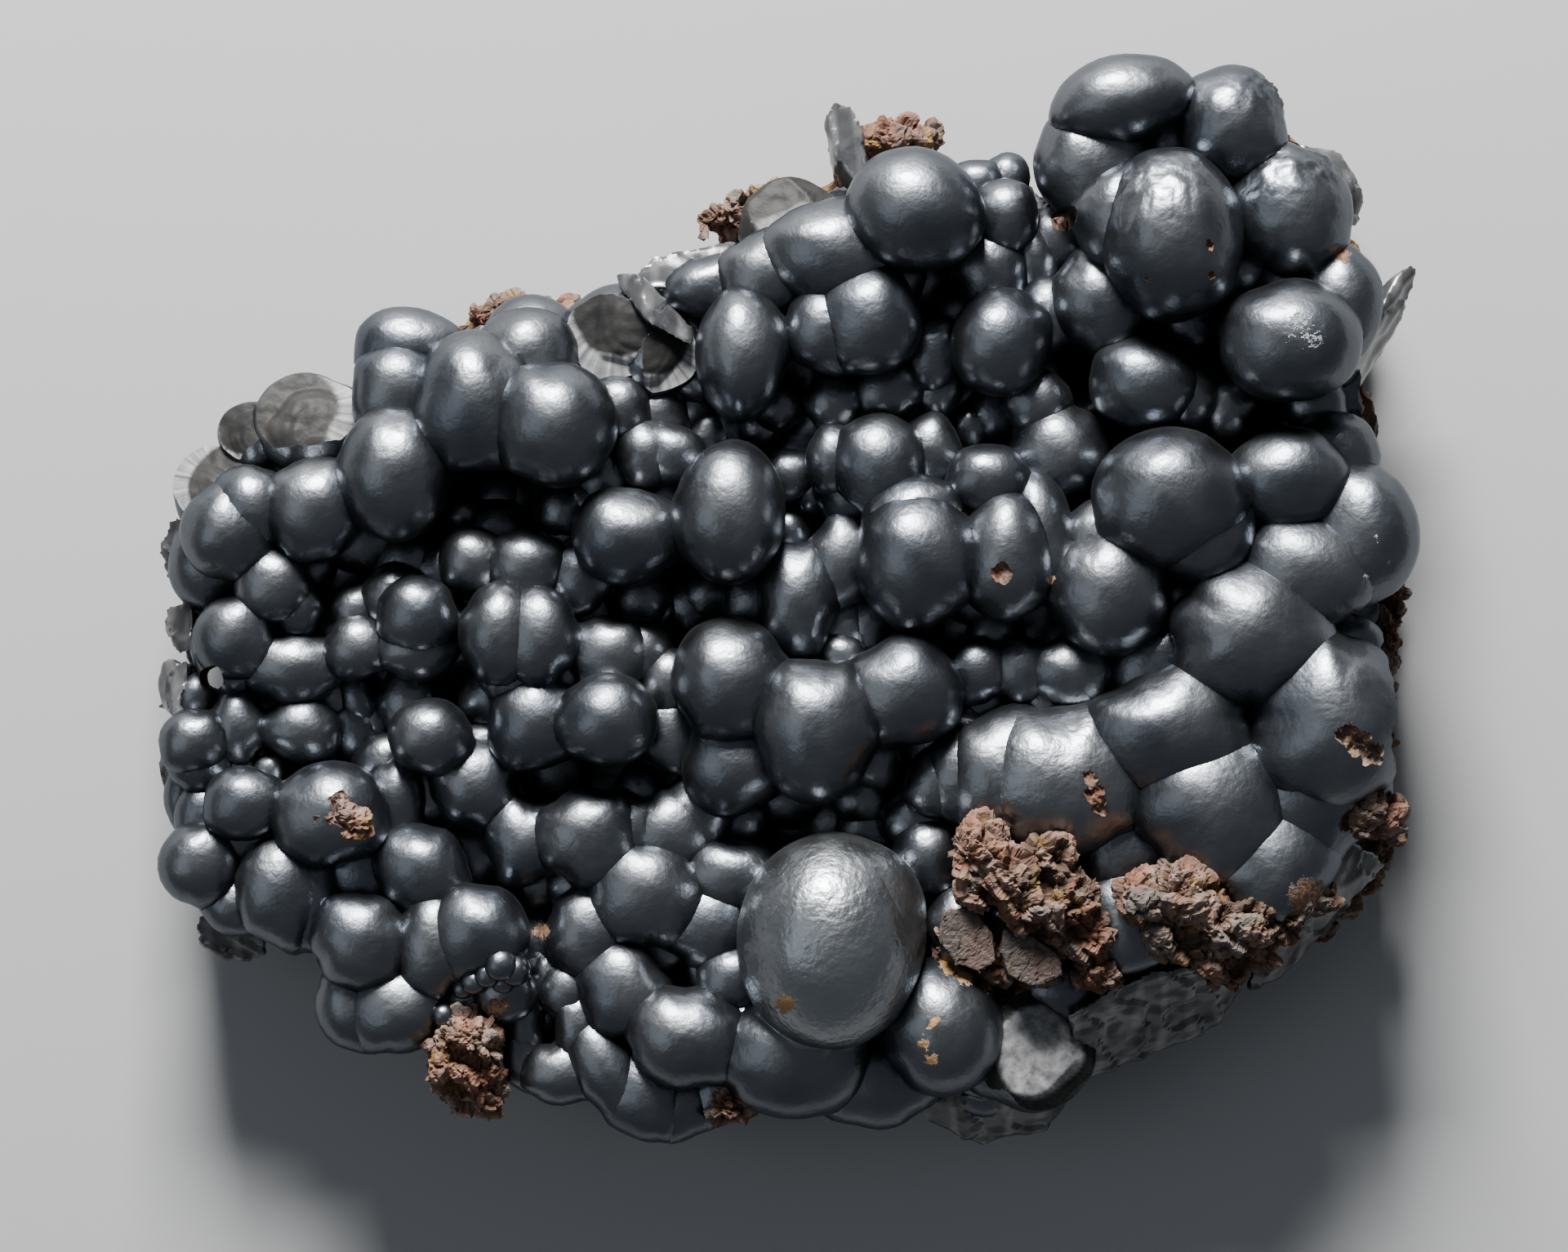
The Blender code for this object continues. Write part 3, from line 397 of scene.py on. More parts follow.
# %% Tables of edges and hollows
SPLINTERS = {
    "top_lump": [
        (6.6, 85.5, 21), (8.2, 88.4, 22), (11.2, 88, 24), (13.2, 83.4, 25), (13.0, 79, 24), (8.6, 78.4, 23),
        (7, 80, 19), (10, 70, 15), (15, 70, 22), (16, 72, 15), (9.6, 86, 17),
    ],
    "blade": [
        (98, 36, 26), (98, 41, 36), (104, 55, 27), (108, 58, 29), (111.5, 59.6, 27),
        (110, 53, 24), (107, 47, 22), (103.5, 42, 20), (101, 36, 21), (100, 50, 20),
    ],
    "left_plate_high": [
        (-111.5, 9, 22), (-109.4, 14.6, 25), (-105, 15, 28), (-104, 3, 24), (-109.5, 3, 20), (-105, 9, 16),
    ],
    "left_plate_middle": [
        (-110.2, -1, 24), (-105, 0.5, 27), (-104.8, -9, 29), (-107.5, -9.5, 26), (-110.4, -6, 20),
        (-104, -5, 16),
    ],
    "left_plate_low": [
        (-110.6, -10.5, 25), (-105.4, -10.5, 29), (-107.4, -20.5, 30), (-111.6, -16, 23), (-111.4, -19, 20),
        (-103, -15, 16), (-104, -21, 17),
    ],
    "left_plate_foot": [
        (-111.2, -24.5, 25), (-110.6, -30.4, 25), (-109.8, -36, 21), (-107.6, -40, 20), (-103, -31, 30),
        (-103, -36, 16), (-104, -24, 17),
    ],
    "left_toe": [
        (-105.2, -57.4, 23), (-102.2, -53.8, 26), (-92, -58, 27), (-92.5, -63.4, 23), (-100, -64.2, 21),
        (-104.2, -61.6, 20), (-94, -56, 15), (-98, -60, 15),
    ],
    "curled_flake": [
        (-30.5, 57.6, 36), (-29.0, 54.4, 37), (-24, 48, 40.5), (-16.0, 44.0, 38), (-16.6, 47.8, 36),
        (-20, 51, 38),
        (-25.8, 57.0, 38.5), (-24, 50, 28), (-19, 46.6, 30),
    ],
    "broken_lip": [
        (-27, 57, 34), (-24.4, 60.2, 33), (-13, 60.4, 30), (-9, 63.6, 29), (-10, 56, 33), (-24, 54, 34),
        (-18, 54, 22),
    ],
    "foot_wedge": [
        (22, -87.4, 31), (34, -86.4, 34.4), (48, -85.6, 34), (52, -84.6, 29), (46, -93.6, 24.4),
        (34, -96.6, 24), (24, -92, 27), (36, -88, 16), (46, -86, 16),
    ],
    "foot_ledge": [
        (49, -72.6, 40.4), (56, -68, 41.6), (64, -64.6, 41.4), (74, -63.4, 38.6), (81.4, -63.6, 35),
        (80.4, -68, 30), (76, -75.4, 26), (66, -79.6, 25), (54, -82, 28), (51, -85.4, 27), (50, -74, 18),
        (72, -70, 17),
    ],
    "right_heel": [
        (94, -40, 34), (100, -43, 32), (106.4, -46, 26), (100.4, -50, 25), (98, -55, 25), (92, -62, 24),
        (87, -67.4, 23), (81, -69.4, 23), (84, -60, 32), (90, -54, 34), (90, -50, 17), (84, -66, 17),
    ],
    "right_rim": [
        (97, 79.4, 27), (100.4, 73.8, 29), (102, 70, 26), (100.8, 66, 26), (94, 66, 33), (90, 80.4, 29),
        (92, 74, 18),
    ],
}
CORE_OUTLINE = [
    (103.5, -10), (105.0, 6), (103.5, 22), (101.5, 34), (101, 46), (98, 60), (96.5, 72), (87, 84),
    (78, 90), (64, 92), (51, 87), (46, 78), (47.5, 70.5), (41, 74), (32, 76), (22, 76), (10, 73), (-1, 70),
    (-9, 60), (-20, 57), (-30, 54), (-37, 47), (-46, 51), (-58, 48), (-70, 48), (-75, 40), (-82, 36),
    (-94, 31), (-104, 23), (-106, 12), (-106, 2), (-107, -6), (-107, -18), (-108, -28), (-107, -38),
    (-103, -50), (-97, -58), (-86, -58), (-80, -68), (-72, -77), (-60, -78), (-48, -84), (-38, -86),
    (-28, -92), (-16, -92), (-4, -88), (10, -90), (24, -90), (34, -93), (46, -90), (54, -82), (66, -77),
    (78, -69), (90, -61), (99, -50), (104, -40), (105.5, -26),
]
MATRIX_OUTLINE = [
    (109, -10), (108, -2), (109.5, 6), (106, 14), (104, 24), (105, 29), (102, 36), (101, 46), (104.5, 56),
    (103, 61), (99, 66), (102, 72), (95, 80), (88, 84), (80, 86), (66, 88), (54, 84), (51, 76), (51, 63),
    (46, 63), (44, 69), (38, 72), (29, 76), (26.8, 79), (25, 84.5), (13, 84), (10, 76), (1, 73),
    (-12.6, 69), (-10, 64.5),
    (-20, 55), (-34, 49), (-40, 53), (-47, 54.4), (-55, 51), (-66, 44), (-76, 36), (-92, 29), (-100, 20),
    (-102, 6), (-98, -8), (-96, -20), (-103, -28), (-103, -40), (-94, -50), (-88, -56), (-78, -62),
    (-74, -72), (-62, -77), (-50, -82), (-38, -84), (-27, -90), (-12, -90), (6, -86), (24, -88), (40, -90),
    (52, -80), (68, -73), (84, -66), (94, -58), (100, -49), (106.5, -46), (107, -36), (105.5, -24),
]
# Deep dark hollows: middle, radius, and how far each goes down.
HOLLOWS = [
    (-51, 17, 8, 8), (-14, 33, 8, 8), (-18, 19, 4, 6), (-20, -1, 6, 7), (-57, -16, 5, 6), (-40, -31, 9, 7),
    (4, -40, 8, 8), (-14, -65, 6, 6), (49, 42, 6, 8), (57, 28, 4, 6), (72, 45, 6, 8), (2, 14, 5, 6),
    (26, 53, 5, 6), (83, 33, 6, 6), (-82, 4, 5, 6), (-86, -29, 5, 5), (20, -33, 5, 5), (-53, -45, 5, 5),
    (-75, 6, 6, 6), (30, -3, 8, 5),
]
# Gaps that the light shines through: middle and radius.
WINDOWS = [(-101.0, -13.8, 2.2), (48.4, 66.4, 2.0)]
# Lumps of each limonite clot: middle and radius.
CLOTS = {
    "limonite_clot_middle": [
        (34, -43, 47, 5.6), (38.6, -47.6, 48, 5.4), (45, -45, 47, 5.2), (41, -52.6, 47, 5.0),
        (49, -52.4, 46, 5.6), (52.6, -57.6, 44, 5.0), (54, -64.4, 41, 4.6), (47, -58.4, 42.6, 4.2),
        (33.4, -49.6, 45, 4.4), (42, -61.4, 37.4, 6.0), (30.0, -58.4, 38.2, 5.0), (35.6, -61.6, 38.4, 4.2),
    ],
    "limonite_clot_right": [
        (62, -52, 45, 5.4), (68.4, -50.4, 46, 5.4), (66, -57.2, 43.5, 4.8), (73.6, -55.4, 44, 5.4),
        (80.2, -55.6, 43, 5.4), (86.6, -54.6, 41, 5.0), (91.6, -51.4, 38, 4.4), (74.6, -61, 40, 5.0),
        (81.6, -60.2, 38.6, 4.6), (77, -65, 37, 3.8), (70.6, -59.4, 42, 4.4),
    ],
    "limonite_clot_lower": [
        (-57.2, -75.8, 38, 4.0), (-53.4, -76.8, 38.5, 4.2), (-58.4, -81.2, 36, 4.4),
        (-53.4, -82.4, 36, 4.4),
        (-52.4, -86.2, 34, 3.8), (-61, -76.6, 36, 2.8), (-56.8, -86, 33, 3.6),
    ],
    "limonite_plug": [(-77.2, -36.4, 45.0, 2.8), (-78.4, -37.4, 44.6, 2.4), (-75.0, -38.2, 44.6, 2.6)],
    "limonite_patch_right": [
        (101.4, -35.6, 41.9, 3.6), (99.4, -38.4, 41.7, 3.2), (103.4, -37.6, 38.6, 4.0),
    ],
    "limonite_patch_foot": [(-10.6, -88.6, 37, 3.2), (-8.4, -88.2, 35.5, 3.2)],
}
GREAT_BALL = ["right_flank_11", "right_flank_12"]  # it stands clear of its neighbours
SHALLOW_CREASES = [f"right_flank_{i}" for i in (0, 8, 15, 16, 17, 18, 20)]
FINE_GLOBULES = ["upper_right_1", "upper_right_2", "upper_right_5", "upper_right_6"]
print(len(SPLINTERS), "splinters,", len(HOLLOWS), "hollows,", len(CLOTS), "clots of limonite")

# %% [markdown]
# ## One unit ball, many facets
# A lobe has to look round from a step away and close up, so the facets are all about 1.5 mm, whatever the
# lobe's size. An ico sphere only comes in steps of four times the facets. A cube that is subdivided and
# then pushed out to a sphere comes in any step, and has no poles.


# %% Unit ball
FACET = 1.5
balls = {}


def unit_ball(cuts):
    """A ball of radius 1, made once for each number of cuts and then copied."""
    if cuts not in balls:
        bpy.ops.object.select_all(action="DESELECT")
        bpy.ops.mesh.primitive_cube_add(size=2)
        ball = bpy.context.object
        edit(ball)
        bpy.ops.mesh.subdivide(number_cuts=cuts)
        bpy.ops.transform.tosphere(value=1.0)
        done()
        points = points_of(ball.data)
        balls[cuts] = ball
        set_points(ball.data, points / np.linalg.norm(points, axis=1, keepdims=True))
    return balls[cuts]


print("points on a ball of 12 cuts:", len(unit_ball(12).data.vertices))

# %% [markdown]
# ## How lobes crowd each other
# Where two lobes meet on the stone, neither has reached its full width: each is a wide ball cut short by
# the other, and they meet in a shallow crease. Beside a hollow a lobe is free and shows its whole round
# side. So each lobe swells, direction by direction, toward the neighbours that stand at about its own
# height. Both swell by the same length, which keeps the crease where it was read.

# %% Crowding
# How far the lobes of each group swell toward a neighbour, as a share of the smaller radius.
CROWD = {
    "left_shoulder": 0.16, "left_flank": 0.21, "left_foot": 0.26, "small_pearls": 0.0, "lower_edge": 0.28,
    "lower_middle": 0.31, "middle": 0.21, "upper_middle": 0.17, "upper_right": 0.16, "right_flank": 0.25,
    "fillers": 0.2,
}
TOUCH = 0.95  # a neighbour this near, in its own radii, counts in full
CLEAR = 1.45  # and one this far not at all
LEVEL = 3.0  # a neighbour this much lower, in mm, still counts in full
DROP = 9.0  # and one this much lower not at all
GREAT_CROWD = 0.04  # the great ball's own share, which keeps it rounder than its neighbours

all_lobes = [lobe for group in LOBES.values() for lobe in group]
names = [f"{group}_{i}" for group, rows in LOBES.items() for i in range(len(rows))]
crowds = [CROWD[group] for group, rows in LOBES.items() for lobe in rows]
for name in GREAT_BALL:
    crowds[names.index(name)] = GREAT_CROWD


def fade(values, full, none):
    """1 up to full, 0 from none on, and straight in between."""
    return np.clip((none - values) / (none - full), 0.0, 1.0)


def crowding(lobe, points, most):
    """How far each point, in the lobe's own axes, is pushed out across the face, in mm."""
    x, y, z, wide, high, turn = lobe
    angle = math.radians(turn)
    length = np.maximum(np.hypot(points[:, 0], points[:, 1]), 1e-6)
    edge = points[:, :2] / length[:, None] * (wide, high)
    spread = edge[:, 0] * math.cos(angle) - edge[:, 1] * math.sin(angle)
    across = edge[:, 0] * math.sin(angle) + edge[:, 1] * math.cos(angle)
    push = np.zeros(len(points))
    top = z + (wide + high) / 2
    for other, share in zip(all_lobes, crowds):
        ox, oy, oz, ow, oh, turned = other
        if other is lobe or math.hypot(ox - x, oy - y) > wide + high + ow + oh:
            continue
        tilt = math.radians(turned)
        dx, dy = x + spread - ox, y + across - oy
        u = (dx * math.cos(tilt) + dy * math.sin(tilt)) / ow
        v = (dy * math.cos(tilt) - dx * math.sin(tilt)) / oh
        near = fade(np.hypot(u, v), TOUCH, CLEAR)
        step = top - oz - (ow + oh) / 2
        near = near * (3 - 2 * near) * near * max(0.0, min(1.0, (DROP - step) / (DROP - LEVEL)))
        push = np.maximum(push, (most + share) / 2 * min((wide + high) / 2, (ow + oh) / 2) * near)
    return push


# %% [markdown]
# ## From ball to lobe
# A real lobe is not a perfect ball. It swells a little here and there, and under its widest part it
# narrows into the root that it grew on. So a copy of the unit ball is swollen by slow noise, its lower
# half is drawn down to the root's floor, and only then is it stretched, crowded, turned and set in its
# place. Each copy remembers the number of its lobe on every face, so that later steps can still tell the
# lobes apart.


# %% One lobe
SWELL = 0.03  # how far a lobe departs from a ball, as a share of its radius
WRINKLE_FACET, CREASE_FACET = 0.85, 0.95  # mm, for lobes with wrinkles and for those with shallow creases
fine_lobes = {}  # the facets of the lobes that need them finer than the rest
# Where the skin is wrinkled or pebbly: middle, reach, size of the wrinkles and how high they stand.
WRINKLES = [
    (62.0, 69.0, 9.0, 2.6, 0.4), (67.0, 72.0, 7.0, 2.2, 0.35), (76.0, 84.0, 8.0, 2.0, 0.4),
    (83.6, 88.0, 7.0, 1.7, 0.6), (86.0, 73.0, 9.0, 2.4, 0.55), (94.0, 75.0, 6.0, 1.8, 0.5),
]


def lobe_piece(number, lobe, facet=FACET, crowd=0.1):
    x, y, z, wide, high, turn = lobe
    deep = (wide + high) / 2
    cuts = max(5, round(math.pi / 2 * deep / facet) - 1)
    mesh = unit_ball(cuts).data.copy()
    ball = placed(f"lobe_{number}", mesh)
    points = points_of(mesh)
    swell = wander(points, 0.9, number) + 0.35 * wander(points, 0.38, number + 0.5)
    push = crowding(lobe, points, crowd)
    points *= 1 + SWELL * swell[:, None] * min(1.0, deep / 8)
    root = max(1.0, (z - ROOT_FLOOR) / deep)
    points[:, 2] *= np.where(points[:, 2] < 0, root, 1.0)
    points[:, :2] *= 1 + push[:, None] / deep
    points *= (wide, high, deep)
    angle = math.radians(turn)
    turned = points.copy()
    turned[:, 0] = points[:, 0] * math.cos(angle) - points[:, 1] * math.sin(angle)
    turned[:, 1] = points[:, 0] * math.sin(angle) + points[:, 1] * math.cos(angle)
    turned += (x, y, z)
    outward = turned - (x, y, z)
    outward /= np.linalg.norm(outward, axis=1, keepdims=True)
    for wx, wy, reach, grain, height in WRINKLES:
        if math.hypot(wx - x, wy - y) < reach + wide:
            near = fade(np.hypot(turned[:, 0] - wx, turned[:, 1] - wy), 0.4 * reach, reach)
            turned += outward * (near * height * (ridged(turned, grain, 2) - 0.4))[:, None]
    set_points(mesh, (turned + OFFSET) * MM)
    tag(mesh, number)
    return ball


def tag(mesh, number):
    """Writes a number on every face of a mesh."""
    mark = mesh.attributes.new("lobe", "INT", "FACE")
    mark.data.foreach_set("value", np.full(len(mesh.polygons), number, np.int32))


fine_lobes.update({name: WRINKLE_FACET for name in FINE_GLOBULES})
fine_lobes.update({name: CREASE_FACET for name in SHALLOW_CREASES})
grown = []
for number, (name, lobe) in enumerate(zip(names, all_lobes)):
    grown.append(lobe_piece(number, lobe, fine_lobes.get(name, FACET), crowds[number]))
print(len(grown), "lobes,", sum(count(piece) for piece in grown), "triangles before they are joined")

# %% [markdown]
# ## The broken lobes
# A lobe grows in shells of fibres, so it breaks like an onion: the inner shells stay as a dome, and the
# outer one is left as a ledge of fibres seen end on. Two of the seven split along a plane, and there the
# shells show as bands. A flat cut would look sawn. So a Boolean takes away a block whose underside is a
# fine grid, shaped as that dome and ledge or as those bands.


# %% Broken lobes
BREAK = 1000  # numbers from here on mark the faces of a break
BROKEN_SKIN = 1500  # and from here on the skin that is left on a broken lobe
BROKEN_FACET = 1.1
PLATE = 50  # cells along each side of the cutter that leaves a break
HEART = 0.87  # the radius of the inner dome, as a share of the lobe's
HEART_RISE = 0.2
LEDGE_FALL = 0.12  # how steeply the ledge of fibres falls to the lobe's edge
RING_AT = (0.46, 0.66)  # shells inside the dome, as shares of the lobe's radius
RING_DROP = 0.22  # mm that each shell steps down
BANDS_AT = (0.62, 0.7, 0.8, 0.92, 1.04, 1.16)
BAND_DROP = 0.7
SHELL_WAVE, SHELL_GRAIN = 0.12, 6.0  # how far the shells bend, and over how many mm


def squarish(x, y):
    """Distance from the middle, counted so that a ring of it is a rounded and turned square."""
    u, v = 0.9 * x + 0.44 * y, 0.9 * y - 0.44 * x
    return (np.abs(u) ** 4 + np.abs(v) ** 4) ** 0.25


def shell_bend(points, index):
    """A factor that bends the shells of a broken lobe, so that they aren't true circles."""
    return 1 + SHELL_WAVE * wander(points * (1, 1, 0), SHELL_GRAIN, index)


def broken_piece(index, lobe, point, facing, shift):
    ball = lobe_piece(BROKEN_SKIN + index, lobe, BROKEN_FACET)
    reach = 1.25 * max(lobe[3], lobe[4])
    bpy.ops.object.select_all(action="DESELECT")
    bpy.ops.mesh.primitive_grid_add(x_subdivisions=PLATE, y_subdivisions=PLATE, size=2)
    block = bpy.context.object
    edit(block)
    bpy.ops.mesh.extrude_region_move(TRANSFORM_OT_translate={"value": (0, 0, 1)})
    face_outward()
    points = points_of(block.data)
    low = points[:, 2] < 0.5
    points[:, :2] *= reach
    radius = (lobe[3] + lobe[4]) / 2
    wavy = shell_bend(points, index)
    away = np.hypot(points[:, 0] / radius - shift[0], points[:, 1] / radius - shift[1]) * wavy
    dome = HEART_RISE * radius * np.sqrt(np.clip(1 - (away / HEART) ** 2, 0, 1))
    steps = sum(RING_DROP * fade(away, ring, ring + 0.05) for ring in RING_AT)
    ledge = -LEDGE_FALL * radius * np.clip(away - HEART, 0, None)
    if index in FLAT_BREAKS:
        away = squarish(points[:, 0] / radius - shift[0], points[:, 1] / radius - shift[1]) * wavy
        dome = 0.1 * wander(points * (1, 1, 0), 3.0, 2)
        steps = sum(-BAND_DROP * (1 - fade(away, ring, ring + 0.04)) for ring in BANDS_AT)
    floor = dome + steps + ledge + 0.14 * wander(points * (1, 1, 0), 2.0, index + 3)
    points[:, 2] = np.where(low, floor, 3 * reach)
    turn = np.array(Vector(facing).to_track_quat("Z", "Y").to_matrix())
    set_points(block.data, (points @ turn.T + point + OFFSET) * MM)
    tag(block.data, BREAK + index)
    cut(ball, block)
    return ball


broken = [broken_piece(index, *entry) for index, entry in enumerate(BROKEN_LOBES)]
print(len(broken), "broken lobes")

# %% [markdown]
# ## Splinters
# Along the edges the crust snapped into plates, a blade and a wedge with flat, glassy faces. Each begins
# as the hull of a few corners, which has the clean planes of a fresh break. A voxel remesh gives it
# points enough, and layers bent by noise then stand out over each other, as the fibres split at different
# depths.


# %% Splinters
SPLINTER = 2000  # numbers from here on mark the faces of a splinter
SPLINTER_GRAIN = 0.68
LAYER = 7.0  # thickness of the layers that a splinter is made of, in mm
LEDGE = 0.6  # how far a layer stands out over the next


def splinter_piece(index, corners):
    piece = hull(f"splinter_{index}", corners, SPLINTER_GRAIN)
    points = points_of(piece.data) / MM
    normals = vertex_normals(piece.data)
    lean = noise.cell_vector(Vector((index * 3.3, 1.7, 0.4)))
    layers = (points @ np.array(lean) + 4.0 * wander(points, 8.0, index)) / LAYER
    points += normals * (LEDGE * (layers % 1 - 0.5) + 0.22 * wander(points, 2.6, index))[:, None]
    set_points(piece.data, points * MM)
    tag(piece.data, SPLINTER + index)
    return piece


def vertex_normals(mesh):
    normals = np.empty(len(mesh.vertices) * 3, np.float32)
    mesh.vertices.foreach_get("normal", normals)
    return normals.reshape(-1, 3).astype(np.float64)


splinters = [splinter_piece(i, corners) for i, corners in enumerate(SPLINTERS.values())]
print(len(splinters), "splinters")

# %% [markdown]
# ## The solid crust under the lobes
# Between the lobes lies the older, solid crust. Its top is a soft landscape that stays just under the
# lobes around each place and sinks into the dark hollows. A fine grid is lifted to that height, and a
# prism with a ragged edge trims it to the outline of the stone.

# %% Core
CORE = 3000  # the number of the core's own faces
SNAPPED = 3001  # the core's sides, the snapped right edge and the walls of the windows
UNDERSIDE = 3002
CORE_SINK = 1.15  # how far the core stays below the lobes' middles, as a share of their radius
CORE_REACH = 8.5  # a lobe shapes the core this far around it
BARE_RISE = 8.0
LEAST_RISE = 3.0
CORE_FLOOR = 10.0
PRISM_STEP = 1.3  # mm between the points round a prism


def mound_height(points):
    """Height of the core at many places at once, in millimetres."""
    lobes = np.array(all_lobes)
    radii = (lobes[:, 3] + lobes[:, 4]) / 2
    tops = lobes[:, 2] - CORE_SINK * radii
    away = np.hypot(points[:, None, 0] - lobes[None, :, 0], points[:, None, 1] - lobes[None, :, 1])
    near = np.exp(-((away / CORE_REACH) ** 2))
    weight = near.sum(axis=1)
    height = np.where(weight > 1e-3, (near @ tops) / np.maximum(weight, 1e-9), MATRIX_TOP + BARE_RISE)
    for x, y, reach, depth in HOLLOWS:
        height -= depth * np.exp(-((np.hypot(points[:, 0] - x, points[:, 1] - y) / reach) ** 2))
    return np.maximum(height, MATRIX_TOP + LEAST_RISE)


def stepped(outline, step):
    """The outline with a point every step or so along its sides."""
    out = []
    for (x0, y0), (x1, y1) in zip(outline, outline[1:] + outline[:1]):
        parts = max(1, round(math.hypot(x1 - x0, y1 - y0) / step))
        out += [(x0 + (x1 - x0) * k / parts, y0 + (y1 - y0) * k / parts) for k in range(parts)]
    return np.array(out)


def ragged_prism(name, outline, low, high, levels, taper, rough):
    """A closed prism over an outline. Its sides draw in by taper(0..1) and are broken by rough(points)."""
    ring = stepped(outline, PRISM_STEP)
    bpy.ops.object.select_all(action="DESELECT")
    bpy.ops.mesh.primitive_circle_add(vertices=len(ring), radius=1, fill_type="NGON")
    prism = bpy.context.object
    prism.name = name
    edit(prism)
    for _ in range(levels):
        bpy.ops.mesh.extrude_region_move(TRANSFORM_OT_translate={"value": (0, 0, 0.01)})
    face_outward()
    shares = np.repeat(np.arange(levels + 1) / levels, len(ring))
    points = np.column_stack((np.tile(ring, (levels + 1, 1)), low + (high - low) * shares))
    points[:, :2] *= 1 - taper(shares)[:, None]
    outward = points[:, :2] / np.linalg.norm(points[:, :2], axis=1, keepdims=True)
    points[:, :2] += outward * rough(points)[:, None]
    set_points(prism.data, (points + OFFSET) * MM)
    return prism


def no_taper(shares):
    return shares * 0


def broken_edge(points):
    flat = points * (1, 1, 0.35)
    return 0.9 * wander(flat, 7.0, 3) + 1.1 * ridged(flat, 3.2, 4) - 1.1


GRID = (150, 130)
SPREAD = (113.0, 97.0)
bpy.ops.object.select_all(action="DESELECT")
bpy.ops.mesh.primitive_grid_add(x_subdivisions=GRID[0], y_subdivisions=GRID[1], size=2)
crust = bpy.context.object
crust.name = "crust"
edit(crust)
bpy.ops.mesh.extrude_region_move(TRANSFORM_OT_translate={"value": (0, 0, -1)})
face_outward()
ground = points_of(crust.data)
ground[:, :2] *= SPREAD
on_top = ground[:, 2] > -0.5
lift = mound_height(ground)
lift += 0.7 * wander(ground * (1, 1, 0), 3.0, 1) + 0.35 * wander(ground * (1, 1, 0), 1.4, 2)
ground[:, 2] = np.where(on_top, lift, CORE_FLOOR)
set_points(crust.data, (ground + OFFSET) * MM)
edge = ragged_prism("edge", CORE_OUTLINE, CORE_FLOOR - 4, 42, 26, no_taper, broken_edge)
tag(crust.data, CORE)
tag(edge.data, SNAPPED)
cut(crust, edge, "INTERSECT")
print("core:", count(crust), "triangles")

# %% [markdown]
# ## Young lobes in the hollows
# Down between the big lobes the crust kept growing, so the floor of each hollow is itself a bed of small
# lobes. They are hardly seen, and nobody could read them from a photograph. A loop sets them on a loose
# grid, wherever no lobe of the table stands overhead, with a fixed seed so that each run gives the same
# stone. Their facets are coarser, since they lie in the dark.

# %% Young lobes
YOUNG_STEP = 6.3
YOUNG_FACET = 1.8
YOUNG = 500  # their numbers start here


def height_of_core(place):
    return float(mound_height(np.array([place]))[0])


def inside(place, outline, margin):
    """Whether a place lies inside an outline and at least a margin from its edge."""
    x, y = place
    odd = False
    for (x0, y0), (x1, y1) in zip(outline, outline[1:] + outline[:1]):
        if (y0 > y) != (y1 > y) and x < x0 + (y - y0) / (y1 - y0) * (x1 - x0):
            odd = not odd
        length = math.hypot(x1 - x0, y1 - y0)
        along = max(0.0, min(1.0, ((x - x0) * (x1 - x0) + (y - y0) * (y1 - y0)) / length**2))
        if math.hypot(x - x0 - along * (x1 - x0), y - y0 - along * (y1 - y0)) < margin:
            return False
    return odd


def overhead(x, y):
    """The highest point of the table's lobes above a place."""
    best = 0.0
    for ox, oy, oz, wide, high, turn in all_lobes:
        tilt = math.radians(turn)
        u = ((x - ox) * math.cos(tilt) + (y - oy) * math.sin(tilt)) / wide
        v = ((y - oy) * math.cos(tilt) - (x - ox) * math.sin(tilt)) / high
        if u * u + v * v < 1:
            best = max(best, oz + (wide + high) / 2 * math.sqrt(1 - u * u - v * v))
    return best


def young_lobes():
    rng = random.Random(11)
    rows = []
    for column in range(-16, 17):
        for line in range(-15, 16):
            place = (
                (column + 0.5 * (line % 2) + rng.uniform(-0.3, 0.3)) * YOUNG_STEP,
                (line * 0.9 + rng.uniform(-0.3, 0.3)) * YOUNG_STEP,
            )
            size = rng.uniform(4.4, 6.4)
            lift = rng.uniform(1.0, 4.0)
            if not inside(place, CORE_OUTLINE, size + 1.0):
                continue
            level = height_of_core(place)
            if overhead(*place) > level + 2:
                continue
            rows.append((*place, level + lift, size, size * rng.uniform(0.9, 1.15), 0))
    return rows


young = [lobe_piece(YOUNG + i, lobe, YOUNG_FACET) for i, lobe in enumerate(young_lobes())]
print(len(young), "young lobes")

# %% [markdown]
# ## One skin
# Lobes, broken lobes, splinters and core grew as one stone, so a Boolean union makes them one skin. Where
# two lobes meet it leaves the sharp crease that gives a botryoidal stone its look, which a voxel remesh
# would round off.

# %% Union
family = bpy.data.collections.new("family")
bpy.context.scene.collection.children.link(family)
for piece in grown + young + broken + splinters:
    bpy.context.scene.collection.objects.unlink(piece)
    family.objects.link(piece)
apply(crust, "BOOLEAN", operation="UNION", solver="MANIFOLD", operand_type="COLLECTION", collection=family)
for piece in grown + young + broken + splinters:
    bpy.data.objects.remove(piece)
bpy.data.collections.remove(family)


def cutter(name, low, high, reach):
    """A plain block that takes away everything between two heights."""
    bpy.ops.object.select_all(action="DESELECT")
    bpy.ops.mesh.primitive_cube_add(size=1)
    block = bpy.context.object
    block.name = name
    points = points_of(block.data)
    points *= (reach, reach, high - low)
    points[:, 2] += (high + low) / 2
    set_points(block.data, points * MM)
    return block


below = cutter("below", -80, MATRIX_TOP + 0.3, 400)
tag(below.data, UNDERSIDE)
cut(crust, below)

